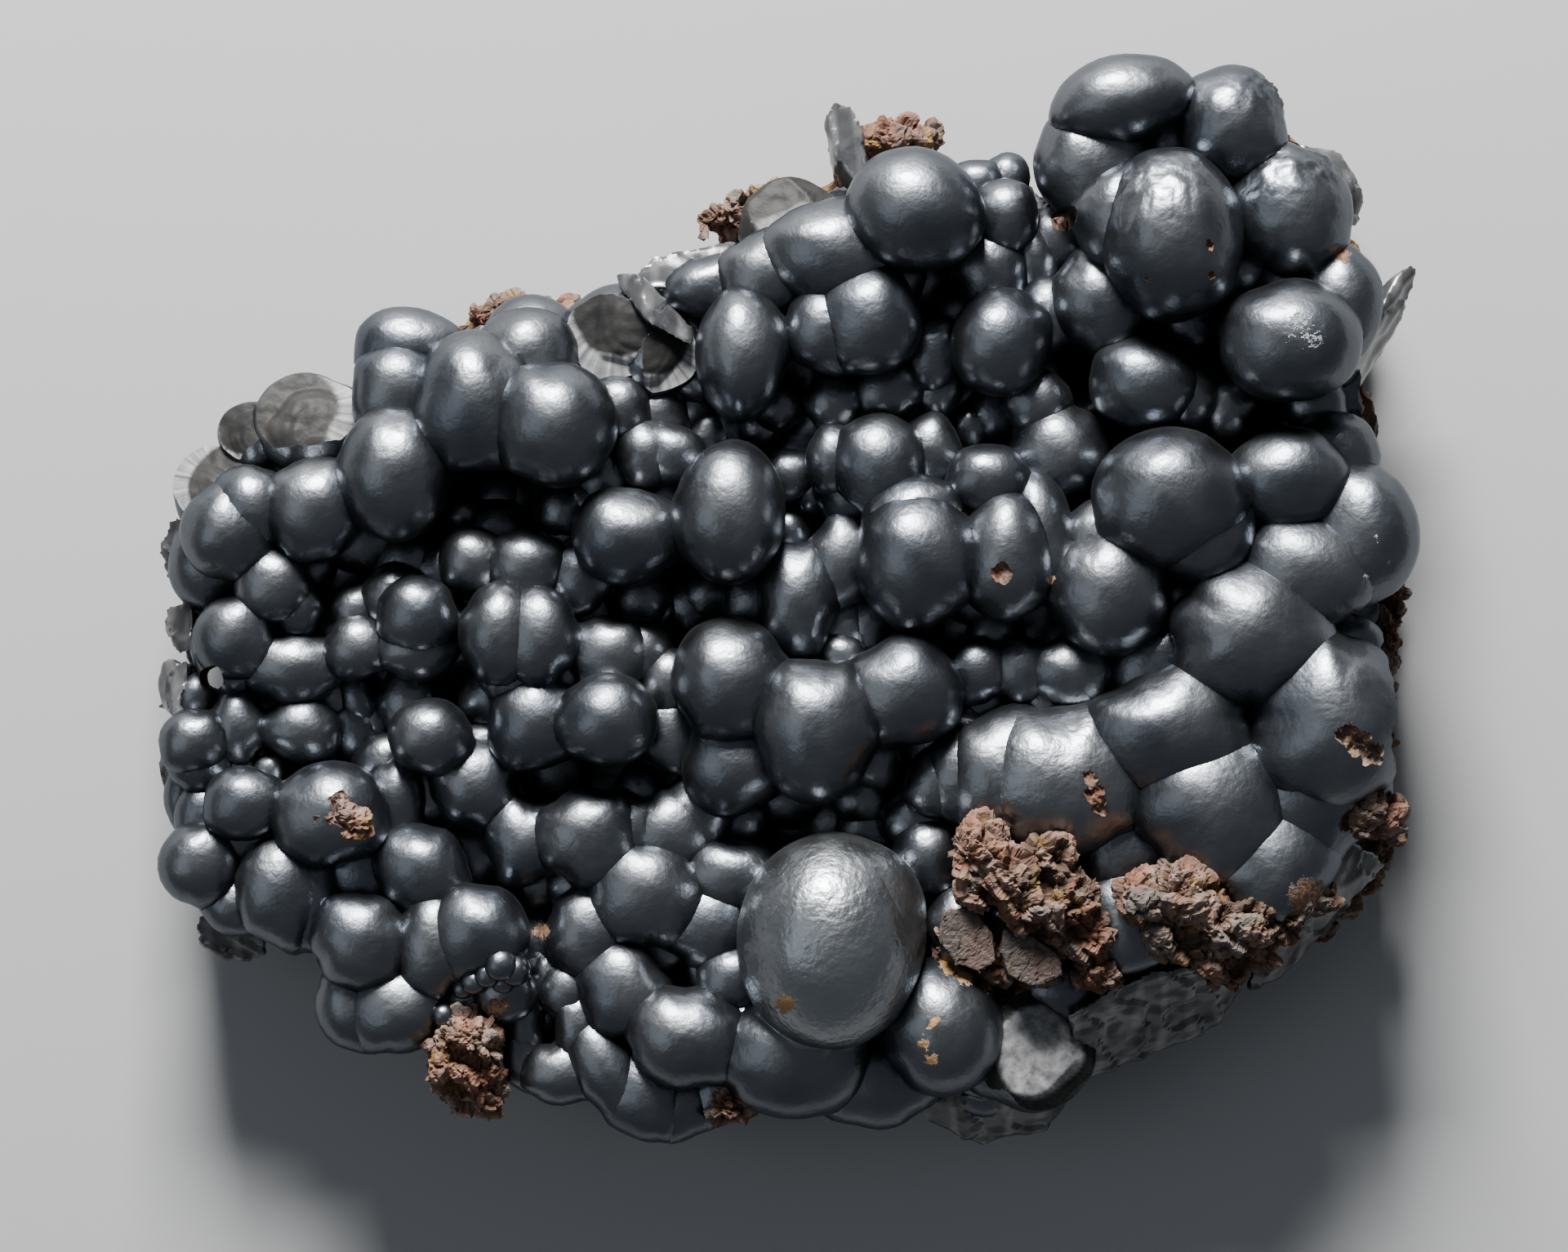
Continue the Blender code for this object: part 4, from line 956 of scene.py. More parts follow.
for x, y, radius in WINDOWS:
    bpy.ops.object.select_all(action="DESELECT")
    bpy.ops.mesh.primitive_cylinder_add(vertices=24, radius=radius * MM, depth=0.15)
    post = bpy.context.object
    shape = points_of(post.data)
    ragged = 1 + 0.16 * wander(shape / MM * (1, 1, 0), 1.8, 5)
    shape[:, :2] *= ragged[:, None]
    shape += (np.array((x, y, 0)) + OFFSET) * MM
    set_points(post.data, shape)
    tag(post.data, SNAPPED)
    cut(crust, post)

# %% [markdown]
# On the right the crust is snapped off in a ragged line, and the limonite behind it shows as a brown
# strip. A prism with the same kind of broken edge takes the ends of those lobes away.

# %% Snapped right edge
SNAP = [
    (105.4, -2), (105.0, -6), (104.6, -12), (105.2, -19), (105.8, -26), (106.6, -33), (106.8, -40),
    (104.6, -46), (114, -52), (130, -40), (130, -2),
]
snap = ragged_prism("snap", SNAP, MATRIX_TOP - 2, 80, 24, no_taper, broken_edge)
tag(snap.data, SNAPPED)
cut(crust, snap)

# %% [markdown]
# A union of so many balls can close small bubbles inside the stone. Separating the loose parts and
# keeping the largest one leaves a single skin with nothing hidden in it.

# %% Bubbles
edit(crust)
bpy.ops.mesh.separate(type="LOOSE")
done()
loose = [piece for piece in bpy.context.selected_objects if piece.type == "MESH"]
loose.sort(key=lambda piece: len(piece.data.vertices))
crust = loose.pop()
for piece in loose:
    bpy.data.objects.remove(piece)
crust.name = "romanechite_skin"
print("skin:", count(crust), "triangles,", len(loose), "bubbles taken out")

# %% [markdown]
# ## Crumbly limonite
# The brown clots are what is left of the limonite that once covered the crust. It breaks into angular
# crumbs of all sizes with deep gaps between them. Sculpting them one by one would take hours. Instead,
# balls fused by a voxel remesh give the lump its form, and Voronoi cells give it crumbs: each cell is
# lifted or sunk by its own chance height, and the borders between cells are cut in.


# %% Crumbs
# Size of the cells, how far they stand out and how far they tilt, coarse to fine, in mm.
CRUMB_GRAINS = ((5.2, 1.5, 0.34), (2.1, 0.75, 0.3), (0.95, 0.26, 0.2))
CRUMB_GAP = 0.13  # width of a gap, as a share of a cell
CRUMB_CUT = 0.4  # depth of a gap, as a share of the lift
LUMP_SWELL = 0.12  # how far the balls of a clot depart from round
CLOT_FACET, EDGE_FACET = 0.42, 0.45  # mm, of the clots and pits and of the crumbs on the slab's edge


def crumbs(points, grain, seed):
    """For each point: the chance lift of its cell, its height on the cell's slope, and the gap, 0 to 1."""
    lift = np.empty(len(points))
    slope = np.empty(len(points))
    gap = np.empty(len(points))
    for i, point in enumerate(points / grain + seed * 3.7):
        distances, middles = noise.voronoi(Vector(point))
        lift[i] = noise.cell(middles[0] * 7.3) * 0.5 + 0.5
        slope[i] = (Vector(point) - middles[0]).dot(noise.cell_vector(middles[0] * 5.1))
        gap[i] = distances[1] - distances[0]
    return lift, slope, 1 - np.clip(gap / CRUMB_GAP, 0, 1)


def crumble(piece, seed, grains=CRUMB_GRAINS):
    """Lifts crumbs out of a fine mesh and writes the depth of the gaps as an attribute for painted shade."""
    points = points_of(piece.data) / MM
    normals = vertex_normals(piece.data)
    shift = np.zeros(len(points))
    gap_shade = np.zeros(len(points))
    tint = np.zeros(len(points))
    bent = points + 0.3 * np.column_stack([wander(points, 1.8, seed + k) for k in range(3)])
    for order, (grain, depth, tilt) in enumerate(grains):
        lift, slope, gap = crumbs(bent, grain, seed + order)
        shift += depth * (lift - 0.5 - CRUMB_CUT * gap) + tilt * grain * slope
        gap_shade = np.maximum(gap_shade, gap * (1.0, 0.7, 0.4)[order])
        tint += lift * (0.6, 0.3, 0.1)[order]
    set_points(piece.data, (points + normals * shift[:, None]) * MM)
    write(piece.data, "gap", gap_shade)
    write(piece.data, "tint", tint)
    return piece


def write(mesh, name, values):
    """A number for every point, under a name that a material can read."""
    layer = mesh.attributes.new(name, "FLOAT", "POINT")
    layer.data.foreach_set("value", np.asarray(values, np.float32))


def fused(name, lumps, grain):
    """Balls melted into one closed lump by a voxel remesh."""
    only_lumps = []
    for index, (x, y, z, radius) in enumerate(lumps):
        mesh = unit_ball(10).data.copy()
        ball = placed(f"{name}_{index}", mesh)
        points = points_of(mesh)
        points *= (1 + LUMP_SWELL * wander(points, 0.8, index))[:, None] * radius
        set_points(mesh, (points + (x, y, z) + OFFSET) * MM)
        only_lumps.append(ball)
    bpy.ops.object.select_all(action="DESELECT")
    for ball in only_lumps:
        ball.select_set(True)
    bpy.context.view_layer.objects.active = only_lumps[0]
    bpy.ops.object.join()
    lump = bpy.context.object
    lump.name = name
    apply(lump, "REMESH", mode="VOXEL", voxel_size=grain * MM)
    return lump


clots = {}
for seed, (clot_node, lumps) in enumerate(CLOTS.items()):
    clot = fused(clot_node + "_crumbs", lumps, CLOT_FACET)
    crumble(clot, seed)
    clots[clot_node] = clot
    print(clot.name, count(clot), "triangles")

# %% [markdown]
# Smaller crumbs hang on the slab's edge: at the top of the stone, in the notch at the top left and down
# the right.

# %% Crumbs on the slab's edge
EDGE_CRUMBS = {
    "limonite_tip": [
        (14.4, 81.6, 18, 3.2), (18.4, 82.6, 18.5, 3.4), (22.6, 81.2, 19, 3.2), (25.2, 82.6, 17, 2.4),
        (20.4, 84.4, 15, 2.4), (16.0, 79.0, 16, 3.0), (22.0, 78.0, 16, 3.0),
    ],
    "limonite_crest": [
        (-54.8, 50.6, 16, 2.0), (-51.6, 52.2, 17, 2.0), (-47.6, 53.0, 18, 2.1), (-43.2, 52.4, 18, 2.0),
        (-39.4, 51.2, 19, 2.1), (-35.8, 49.2, 20, 1.9), (-49.0, 51.0, 14, 3.0), (-41.0, 49.6, 14, 3.0),
    ],
    "limonite_notch": [
        (-14.2, 67.4, 17, 2.0), (-11.6, 68.6, 18.5, 2.3), (-8.4, 70.0, 20, 2.4), (-5.0, 71.4, 21, 2.3),
        (-2.0, 72.6, 21, 2.0), (-10.0, 67.0, 14, 3.0), (-4.0, 69.0, 14, 3.4),
    ],
    "limonite_rim": [
        (106.6, 5.6, 21, 2.2), (107.0, 2.0, 20, 2.5), (107.2, -2.6, 19, 2.6), (106.8, -7.0, 20, 2.4),
        (106.4, -11.6, 19, 2.3), (106.0, -16.2, 18, 2.3), (105.8, -20.6, 18, 2.0), (106.6, -24.6, 17, 2.0),
        (106.0, -1.0, 14, 3.4), (106.0, -8.0, 14, 3.4), (105.0, -15.0, 14, 3.4), (105.0, -22.0, 14, 3.0),
    ],
    "limonite_heel": [
        (107.0, -41.0, 22, 2.4), (104.8, -45.4, 21, 2.8), (101.8, -49.6, 20, 2.6), (98.8, -54.0, 19, 2.6),
        (95.0, -58.6, 18, 2.4), (106.6, -37.4, 20, 2.2), (103.0, -44.0, 15, 3.4), (99.0, -51.0, 15, 3.2),
    ],
}
edge_crumbs = []
for seed, (name, lumps) in enumerate(EDGE_CRUMBS.items()):
    piece = fused(name, lumps, EDGE_FACET)
    edge_crumbs.append(crumble(piece, 20 + seed))
    print(name, count(piece), "triangles")

# %% [markdown]
# The lower left of the middle clot ends in two flat flakes of a harder, greyer limonite. A flake is the
# hull of its own outline at two heights, remeshed finely enough to take a light crumble.

# %% Flakes
# Outline, height of the top and thickness.
FLAKES = {
    "limonite_flake_left": (
        [
            (27.0, -54.2), (31.5, -53.4), (35.6, -57.4), (36.2, -62.4), (33.6, -64.6), (29.2, -63.0),
            (26.4, -59.0),
        ],
        46.3, 3.8,
    ),
    "limonite_flake_right": (
        [
            (37.6, -57.0), (42.0, -58.2), (46.8, -61.2), (47.8, -65.0), (43.0, -67.0), (38.2, -64.8),
            (36.9, -61.0),
        ],
        46.9, 4.0,
    ),
}
FLAKE_TILT = 0.03  # how steeply the flakes fall toward the right
FLAKE_MIDDLE = 36
FLAKE_GRAIN = 0.34
FLAKE_GRAINS = ((3.6, 0.34, 0.1), (1.3, 0.16, 0.14))


def flake(name, outline, top, thick, seed):
    upper = [(x, y, top - FLAKE_TILT * (x - FLAKE_MIDDLE)) for x, y in outline]
    lower = [(x, y, top - thick) for x, y in outline]
    piece = hull(name, upper + lower, FLAKE_GRAIN)
    crumble(piece, seed, FLAKE_GRAINS)
    tints = np.empty(len(piece.data.vertices), np.float32)
    piece.data.attributes["tint"].data.foreach_get("value", tints)
    piece.data.attributes["tint"].data.foreach_set("value", 0.9 + 0.1 * tints)
    return piece


for seed, (name, (outline, top, thick)) in enumerate(FLAKES.items()):
    edge_crumbs.append(flake(name, outline, top, thick, 60 + seed))
    print(name, count(edge_crumbs[-1]), "triangles")

# %% [markdown]
# ## Pits
# Some lobes have pits where brown limonite fills a burst skin. A painted spot would stay flat. So small
# crumbly lumps are sunk into the skin as cutters: the Boolean leaves a real pit, and the walls of the pit
# keep the cutter's number, so that they can be painted as limonite.

# %% Pits
PIT = 4000
PIT_GRAINS = ((1.7, 0.6, 0.3), (0.8, 0.26, 0.25))
PITS = {
    "slit": [(52.2, -30.8, 1.3), (53.4, -33.4, 1.8), (54.2, -36.4, 1.5)],
    "right_burst": [(96.2, -23.2, 2.0), (98.6, -25.0, 2.3), (101.2, -26.6, 2.0)],
    "right_low": [(101.4, -36.4, 3.0), (98.4, -38.8, 2.4), (103.6, -34.6, 2.0)],
    "spot": [(36.8, 4.4, 1.9)],
    "triangle": [(-77.4, -34.4, 2.0), (-75.4, -37.4, 2.3), (-77.6, -37.6, 1.7)],
    "dot_a": [(73.0, 60.6, 1.0)],
    "dot_b": [(73.0, 55.6, 0.8)],
    "dot_c": [(62.2, 55.0, 0.7)],
    "notch": [(6.4, 72.4, 1.5), (9.4, 73.0, 1.7)],
}
SPOT_GRAINS = ((0.9, 0.22, 0.12), (0.6, 0.1, 0.1))  # the one round pit is far smoother
RAISED = 0.6  # how far the middle of a pit's lumps lies above the skin, as a share of their radius

for seed, (name, lumps) in enumerate(PITS.items()):
    deep = [(x, y, overhead(x, y) + RAISED * radius, 1.15 * radius) for x, y, radius in lumps]
    pit = crumble(fused(name, deep, CLOT_FACET), 40 + seed, SPOT_GRAINS if name == "spot" else PIT_GRAINS)
    tag(pit.data, PIT)
    cut(crust, pit)
print("skin with pits:", count(crust), "triangles")

# %% [markdown]
# ## The limonite behind the crust
# The crust grew on a slab of the same limonite. Only its broken edge shows, down the right side and at
# the top. It could be one fine remesh, but nearly all of that would lie hidden. A prism over the outline,
# with many levels only along its sides, puts the detail where it shows.

# %% Slab
MATRIX_TAPER = (0.1, 0.06, 0.025, 0.0, 0.0)  # how far the sides draw in, from the back to the crust
MATRIX_BULGE = 1.6
SLAB_LEVELS = 18
SLAB_GRAINS = ((5.0, 1.3, 0.3), (2.2, 0.7, 0.25))


def matrix_taper(shares):
    return np.interp(shares, np.linspace(0, 1, len(MATRIX_TAPER)), MATRIX_TAPER)


def matrix_edge(points):
    return MATRIX_BULGE * wander(points * (1, 1, 0.6), 8.0, 21)


slab = ragged_prism("limonite_slab", MATRIX_OUTLINE, 0.0, MATRIX_TOP, SLAB_LEVELS, matrix_taper, matrix_edge)
crumble(slab, 80, SLAB_GRAINS)
crumbled = points_of(slab.data) / MM
crumbled[:, 2] = np.clip(crumbled[:, 2], 0.0, MATRIX_TOP)
set_points(slab.data, crumbled * MM)
print(slab.name, count(slab), "triangles")

# %% [markdown]
# The unit balls were only patterns to copy from, so they leave the scene before it is painted.

# %% Balls away
print(len(balls), "pattern balls taken out")
for ball in balls.values():
    bpy.data.objects.remove(ball)
balls.clear()

# %% [markdown]
# ## Paint helpers
# A material is a small graph, and these helpers keep each graph short. They add a node, set or link its
# inputs, and read the numbers that were written on the mesh.


# %% Node helpers
def node(tree, kind, inputs=(), **settings):
    """Adds a shader node. An input may be a number, a colour or another node's output."""
    made = tree.nodes.new("ShaderNode" + kind)
    for key, value in settings.items():
        setattr(made, key, value)
    for key, value in dict(inputs).items():
        if isinstance(value, bpy.types.NodeSocket):
            tree.links.new(value, made.inputs[key])
        else:
            made.inputs[key].default_value = value
    return made


def attribute(tree, name):
    return node(tree, "Attribute", attribute_name=name).outputs["Fac"]


def maths(tree, operation, a, b=0.0, clamp=False):
    return node(tree, "Math", {0: a, 1: b}, operation=operation, use_clamp=clamp).outputs[0]


def mix(tree, share, a, b):
    """A colour between a and b."""
    return node(tree, "Mix", {"Factor": share, 6: a, 7: b}, data_type="RGBA").outputs[2]


def level(tree, value, low, high, out_low=0.0, out_high=1.0):
    """Stretches a value from low..high to out_low..out_high, and stops it there."""
    inputs = {"Value": value, "From Min": low, "From Max": high, "To Min": out_low, "To Max": out_high}
    return node(tree, "MapRange", inputs).outputs["Result"]


def noisy(tree, place, scale, detail=2.0, rough=0.5):
    inputs = {"Vector": place, "Scale": scale, "Detail": detail, "Roughness": rough}
    return node(tree, "TexNoise", inputs).outputs["Fac"]


def new_paint(name):
    """A new material, its graph, its shader and the Object coordinates."""
    paint = bpy.data.materials.new(name)
    paint.use_nodes = True
    tree = paint.node_tree
    place = node(tree, "TexCoord").outputs["Object"]
    return paint, tree, tree.nodes["Principled BSDF"], place


def bumped(tree, height, strength, distance):
    """A normal that rises and falls with a height."""
    inputs = {"Height": height, "Strength": strength, "Distance": distance}
    return node(tree, "Bump", inputs).outputs["Normal"]


def feed(tree, shader, **sockets):
    """Links outputs to the shader's inputs of those names, with _ for a space."""
    for key, value in sockets.items():
        tree.links.new(value, shader.inputs[key.replace("_", " ")])


def rgb(r, g, b):
    return (r, g, b, 1.0)


# %% [markdown]
# ## Paint of the skin
# The skin is a dark, blue-black oxide with a satin, almost metallic sheen and a fine orange-peel grain. A
# metal with a low, slightly blue colour gives that sheen, and a thin coat sharpens the bright spot. The
# grain is bump, because it is too fine to model. Stains, ochre and pale specks are painted where
# attributes on the mesh say, and noise breaks them up. Attributes also paint light and shade: painted
# shade turns the hollows near black, and painted light gives the great ball and two other lobes a lighter
# metal, for a brighter highlight. Low down near the edge the skin is painted darker and duller.

# %% Skin paint
skin_paint, tree, shader, place = new_paint("romanechite_skin")
cloud = noisy(tree, place, 70, 3)
dark_blue, dark_grey = rgb(0.084, 0.093, 0.11), rgb(0.127, 0.135, 0.146)
colour = mix(tree, level(tree, cloud, 0.35, 0.65), dark_blue, dark_grey)
hollow_shade, peel_and_light = attribute(tree, "hollow_shade"), attribute(tree, "peel_and_light")
# Painted light: the great ball and two other lobes get a lighter metal colour, for a brighter highlight.
colour = mix(tree, level(tree, peel_and_light, 0.75, 1.6, 0.0, 0.75), colour, rgb(0.26, 0.275, 0.29))
# Painted shade: points deep in the hollows are darkened to near black.
colour = mix(tree, hollow_shade, colour, rgb(0.034, 0.036, 0.04))
patchy = noisy(tree, place, 900, 4, 0.65)
stain_edge = maths(tree, "ADD", attribute(tree, "stain"), maths(tree, "MULTIPLY", patchy, 1.2))
stained = level(tree, stain_edge, 0.98, 1.08)
grit = level(tree, noisy(tree, place, 1500, 3), 0.35, 0.7)
brown = mix(tree, grit, rgb(0.055, 0.028, 0.017), rgb(0.24, 0.135, 0.085))
colour = mix(tree, stained, colour, brown)
ochre_edge = maths(tree, "ADD", attribute(tree, "ochre"), noisy(tree, place, 1300, 3, 0.7))
ochred = level(tree, ochre_edge, 1.08, 1.14)
colour = mix(tree, ochred, colour, rgb(0.24, 0.14, 0.06))
speck_edge = maths(tree, "ADD", attribute(tree, "speck"), noisy(tree, place, 1500, 2, 0.7))
specked = level(tree, speck_edge, 1.16, 1.3, 0.0, 0.75)
colour = mix(tree, specked, colour, rgb(0.22, 0.22, 0.215))
# The skin is painted darker and duller low down near the edge of the stone.
low_edge_dark = maths(tree, "MULTIPLY", attribute(tree, "low_edge_dark"), level(tree, patchy, 0.35, 0.6, 0.4, 1.0))
colour = mix(tree, low_edge_dark, colour, rgb(0.036, 0.031, 0.028))
dull = maths(tree, "MAXIMUM", maths(tree, "MAXIMUM", stained, ochred), maths(tree, "MAXIMUM", specked, low_edge_dark))
satin = level(tree, noisy(tree, place, 160, 2), 0.3, 0.7, 0.32, 0.41)
satin = maths(tree, "ADD", satin, maths(tree, "MULTIPLY", dull, 0.5))
satin = maths(tree, "ADD", satin, maths(tree, "MULTIPLY", hollow_shade, 0.3))
peel_and_light = maths(tree, "MULTIPLY", noisy(tree, place, 620, 2), peel_and_light)
grain = maths(tree, "MULTIPLY", noisy(tree, place, 1900, 2), 0.16)
rough = maths(tree, "MULTIPLY", patchy, maths(tree, "MULTIPLY", dull, 3.0))
height = maths(tree, "ADD", maths(tree, "ADD", peel_and_light, grain), rough)
bump = bumped(tree, height, 0.5, 0.0003)
feed(tree, shader, Base_Color=colour, Roughness=satin, Normal=bump)
feed(tree, shader, Metallic=maths(tree, "SUBTRACT", 1.0, dull, clamp=True), Coat_Normal=bump)
feed(tree, shader, Coat_Weight=level(tree, maths(tree, "ADD", dull, hollow_shade), 0.0, 0.8, 0.3, 0.0))
shader.inputs["Coat Roughness"].default_value = 0.25
shader.inputs["Specular Tint"].default_value = rgb(0.42, 0.44, 0.47)
print(skin_paint.name, len(tree.nodes), "nodes")

# %% [markdown]
# ## Paint of the breaks
# A broken lobe shows dense, dull grey shells in the middle and, at its edge, a pale ledge where the
# fibres are seen end on. The ledge carries fine spokes. They are a noise read from a direction that was
# written on the mesh, so they run out from the middle with no seam.

# %% Break paint
break_paint, tree, shader, place = new_paint("romanechite_break")
ledge = attribute(tree, "ledge")
spoke = node(tree, "Attribute", attribute_name="spoke").outputs["Vector"]
streak = noisy(tree, spoke, 9, 3, 0.6)
cloud = level(tree, noisy(tree, place, 260, 4), 0.3, 0.7)
heart = mix(tree, cloud, rgb(0.009, 0.009, 0.0093), rgb(0.02, 0.0196, 0.019))
fibre = mix(tree, level(tree, streak, 0.3, 0.7), rgb(0.06, 0.061, 0.064), rgb(0.27, 0.272, 0.28))
colour = mix(tree, ledge, heart, fibre)
grain = maths(tree, "MULTIPLY", noisy(tree, place, 1300, 3), 0.4)
height = maths(tree, "ADD", maths(tree, "MULTIPLY", streak, ledge), grain)
bump = bumped(tree, height, 0.5, 0.0003)
feed(tree, shader, Base_Color=colour, Normal=bump, Roughness=level(tree, ledge, 0, 1, 0.52, 0.42))
shader.inputs["Specular IOR Level"].default_value = 0.13
print(break_paint.name, len(tree.nodes), "nodes")

# %% [markdown]
# ## Paint of the splinters
# Plates and ledges that snapped have a glassy, layered face. Bands bent by noise stand for the layers.

# %% Splinter paint
splinter_paint, tree, shader, place = new_paint("romanechite_splinter")
flow = {"Vector": place, "Scale": 60, "Distortion": 6, "Detail": 2, "Detail Scale": 0.8}
bands = node(tree, "TexWave", flow).outputs["Fac"]
patch = noisy(tree, place, 75, 2, 0.5)
colour = mix(tree, level(tree, patch, 0.35, 0.68), rgb(0.034, 0.035, 0.037), rgb(0.088, 0.09, 0.095))
colour = mix(tree, level(tree, bands, 0.6, 1.0, 0, 0.22), colour, rgb(0.3, 0.3, 0.3))
grain = maths(tree, "MULTIPLY", noisy(tree, place, 900, 4), 0.6)
height = maths(tree, "ADD", maths(tree, "MULTIPLY", bands, 0.5), grain)
bump = bumped(tree, height, 0.25, 0.0004)
feed(tree, shader, Base_Color=colour, Normal=bump, Roughness=level(tree, patch, 0.3, 0.7, 0.36, 0.2))
shader.inputs["Metallic"].default_value = 0.5
print(splinter_paint.name, len(tree.nodes), "nodes")

# %% [markdown]
# ## Paint of the flanks
# The sides and the underside of the crust are an old, dusty break: dull, brown-grey and rough.

# %% Flank paint
flank_paint, tree, shader, place = new_paint("romanechite_flank")
patch = noisy(tree, place, 130, 5, 0.6)
colour = mix(tree, level(tree, patch, 0.3, 0.7), rgb(0.014, 0.013, 0.0125), rgb(0.052, 0.043, 0.037))
height = noisy(tree, place, 420, 6, 0.65)
bump = bumped(tree, height, 0.9, 0.0012)
feed(tree, shader, Base_Color=colour, Normal=bump, Roughness=level(tree, height, 0.3, 0.7, 0.9, 0.5))
shader.inputs["Specular IOR Level"].default_value = 0.3
print(flank_paint.name, len(tree.nodes), "nodes")

# %% [markdown]
# ## Paint of the limonite
# Limonite is rust in many browns: pinkish or grey on the faces, ochre where it is powdery. The gaps
# between the crumbs get painted shade. The tint of each crumb and the depth of each gap were written on
# the mesh as it was crumbled.

# %% Limonite paint
CRUMB_TONES = (
    (0.0, rgb(0.058, 0.037, 0.028)), (0.3, rgb(0.1, 0.06, 0.044)), (0.5, rgb(0.165, 0.098, 0.071)),
    (0.76, rgb(0.2, 0.14, 0.112)), (1.0, rgb(0.104, 0.09, 0.082)),
)
FLAKE_TONES = (
    (0.0, rgb(0.028, 0.021, 0.018)), (0.35, rgb(0.046, 0.037, 0.034)), (0.7, rgb(0.062, 0.052, 0.048)),
    (1.0, rgb(0.078, 0.068, 0.064)),
)


def limonite(name, tones, patches, low, high):
    """Limonite in tones from the gaps to the faces, painted shade in the gaps, rust and powder in patches.
    """
    paint, tree, shader, place = new_paint(name)
    fine = noisy(tree, place, 700, 5, 0.65)
    spread = maths(tree, "ADD", attribute(tree, "tint"), maths(tree, "MULTIPLY", fine, 0.4))
    ramp = node(tree, "ValToRGB", {"Fac": level(tree, spread, low, high)})
    ramp.color_ramp.elements[0].color = tones[0][1]
    ramp.color_ramp.elements[1].color = tones[-1][1]
    for position, tone in tones[1:-1]:
        ramp.color_ramp.elements.new(position).color = tone
    rust = level(tree, noisy(tree, place, 120, 3), 0.5, 0.62, 0.0, patches)
    colour = mix(tree, rust, ramp.outputs["Color"], rgb(0.17, 0.066, 0.038))
    powder = level(tree, noisy(tree, place, 170, 3), 0.58, 0.68, 0.0, patches)
    colour = mix(tree, powder, colour, rgb(0.2, 0.12, 0.03))
    # Painted shade: the gaps between crumbs are darkened.
    gap = maths(tree, "MULTIPLY", attribute(tree, "gap"), 0.5)
    colour = mix(tree, gap, colour, rgb(0.035, 0.021, 0.014))
    bump = bumped(tree, fine, 0.7, 0.0007)
    feed(tree, shader, Base_Color=colour, Normal=bump, Roughness=level(tree, fine, 0.3, 0.7, 0.95, 0.7))
    shader.inputs["Specular IOR Level"].default_value = 0.22
    return paint


limonite_paint = limonite("limonite", CRUMB_TONES, 0.6, 0.45, 0.98)
flake_paint = limonite("limonite_flake", FLAKE_TONES, 0.12, 0.9, 1.35)
print(len(bpy.data.materials), "materials")

# %% [markdown]
# ## Numbers on the skin
# The paint needs to know where the painted shade of the hollows, the stains and the ledges go. Tables
# give them as a middle and a radius, and short loops write the numbers on the points.

# %% Numbers for the skin's paint
# How strong the orange-peel grain is on a lobe. Above the usual value it also paints a lighter metal as
# painted light.
PEEL_AND_LIGHT = {"right_flank_11": 1.6, "right_flank_12": 1.6, "right_flank_8": 1.1, "right_flank_13": 1.1}
USUAL_PEEL_AND_LIGHT = 0.75
HOLLOW_REACH = 12.0
HOLLOW_TOP, HOLLOW_BOTTOM = 11.0, 24.0  # how far below the lobes' tops the dark begins and is full
# Where brown limonite dust sticks to the skin: middle, radius.
STAINS = [
    (-10.0, -90.0, 3.0), (101.6, -37.0, 3.0), (-43.0, -58.0, 1.6), (90.5, -52.0, 4.0),
    (-62.0, -79.0, 2.0), (-50.6, -71.0, 2.0), (96.5, 60.0, 1.5),
]
OCHRES = [
    (-0.4, -69.4, 2.6), (25.6, -72.6, 1.5), (23.4, -76.4, 1.8), (25.0, -79.4, 1.9), (45.5, 3.6, 1.2),
    (36.0, -66.5, 2.6), (28.0, -63.5, 2.4), (50.0, -48.5, 2.0), (41.0, -68.0, 2.2), (31.0, -65.6, 2.0),
]
# Powdery white specks: middle, radius.
SPECKS = [
    (88.0, 48.0, 3.0), (90.6, 44.6, 2.6), (86.6, 44.0, 1.6), (102.4, 10.4, 1.8), (104.4, 6.6, 1.2),
    (100.4, 4.0, 1.0),
]


def near_any(points, spots):
    """How near each point is to any of the spots: 1 in the middle, 0 from 1.6 radii on."""
    best = np.zeros(len(points))
    for x, y, radius in spots:
        away = np.hypot(points[:, 0] - x, points[:, 1] - y) / radius
        best = np.maximum(best, fade(away, 0.0, 1.6))
    return best


def face_numbers(mesh):
    """The lobe number of each face."""
    marks = np.empty(len(mesh.polygons), np.int32)
    mesh.attributes["lobe"].data.foreach_get("value", marks)
    return marks


def loops_of(mesh):
    """How many corners each face has."""
    sizes = np.empty(len(mesh.polygons), np.int32)
    mesh.polygons.foreach_get("loop_total", sizes)
    return sizes


def point_numbers(mesh, marks):
    """The lobe number of each point, taken from the faces round it."""
    corners = np.empty(len(mesh.loops), np.int32)
    mesh.loops.foreach_get("vertex_index", corners)
    numbers = np.zeros(len(mesh.vertices), np.int32)
    numbers[corners] = np.repeat(marks, loops_of(mesh))
    return numbers


marks = face_numbers(crust.data)
numbers = point_numbers(crust.data, marks)
print(len(numbers), "points on the skin")

# %% [markdown]
# A point gets painted shade when it lies far below the lobes around it, as in a hollow, unless it is near
# the edge of the stone, where light comes in from the side. Low down near the edge the skin is painted
# darker and duller. Each number is worked out for all points at once.

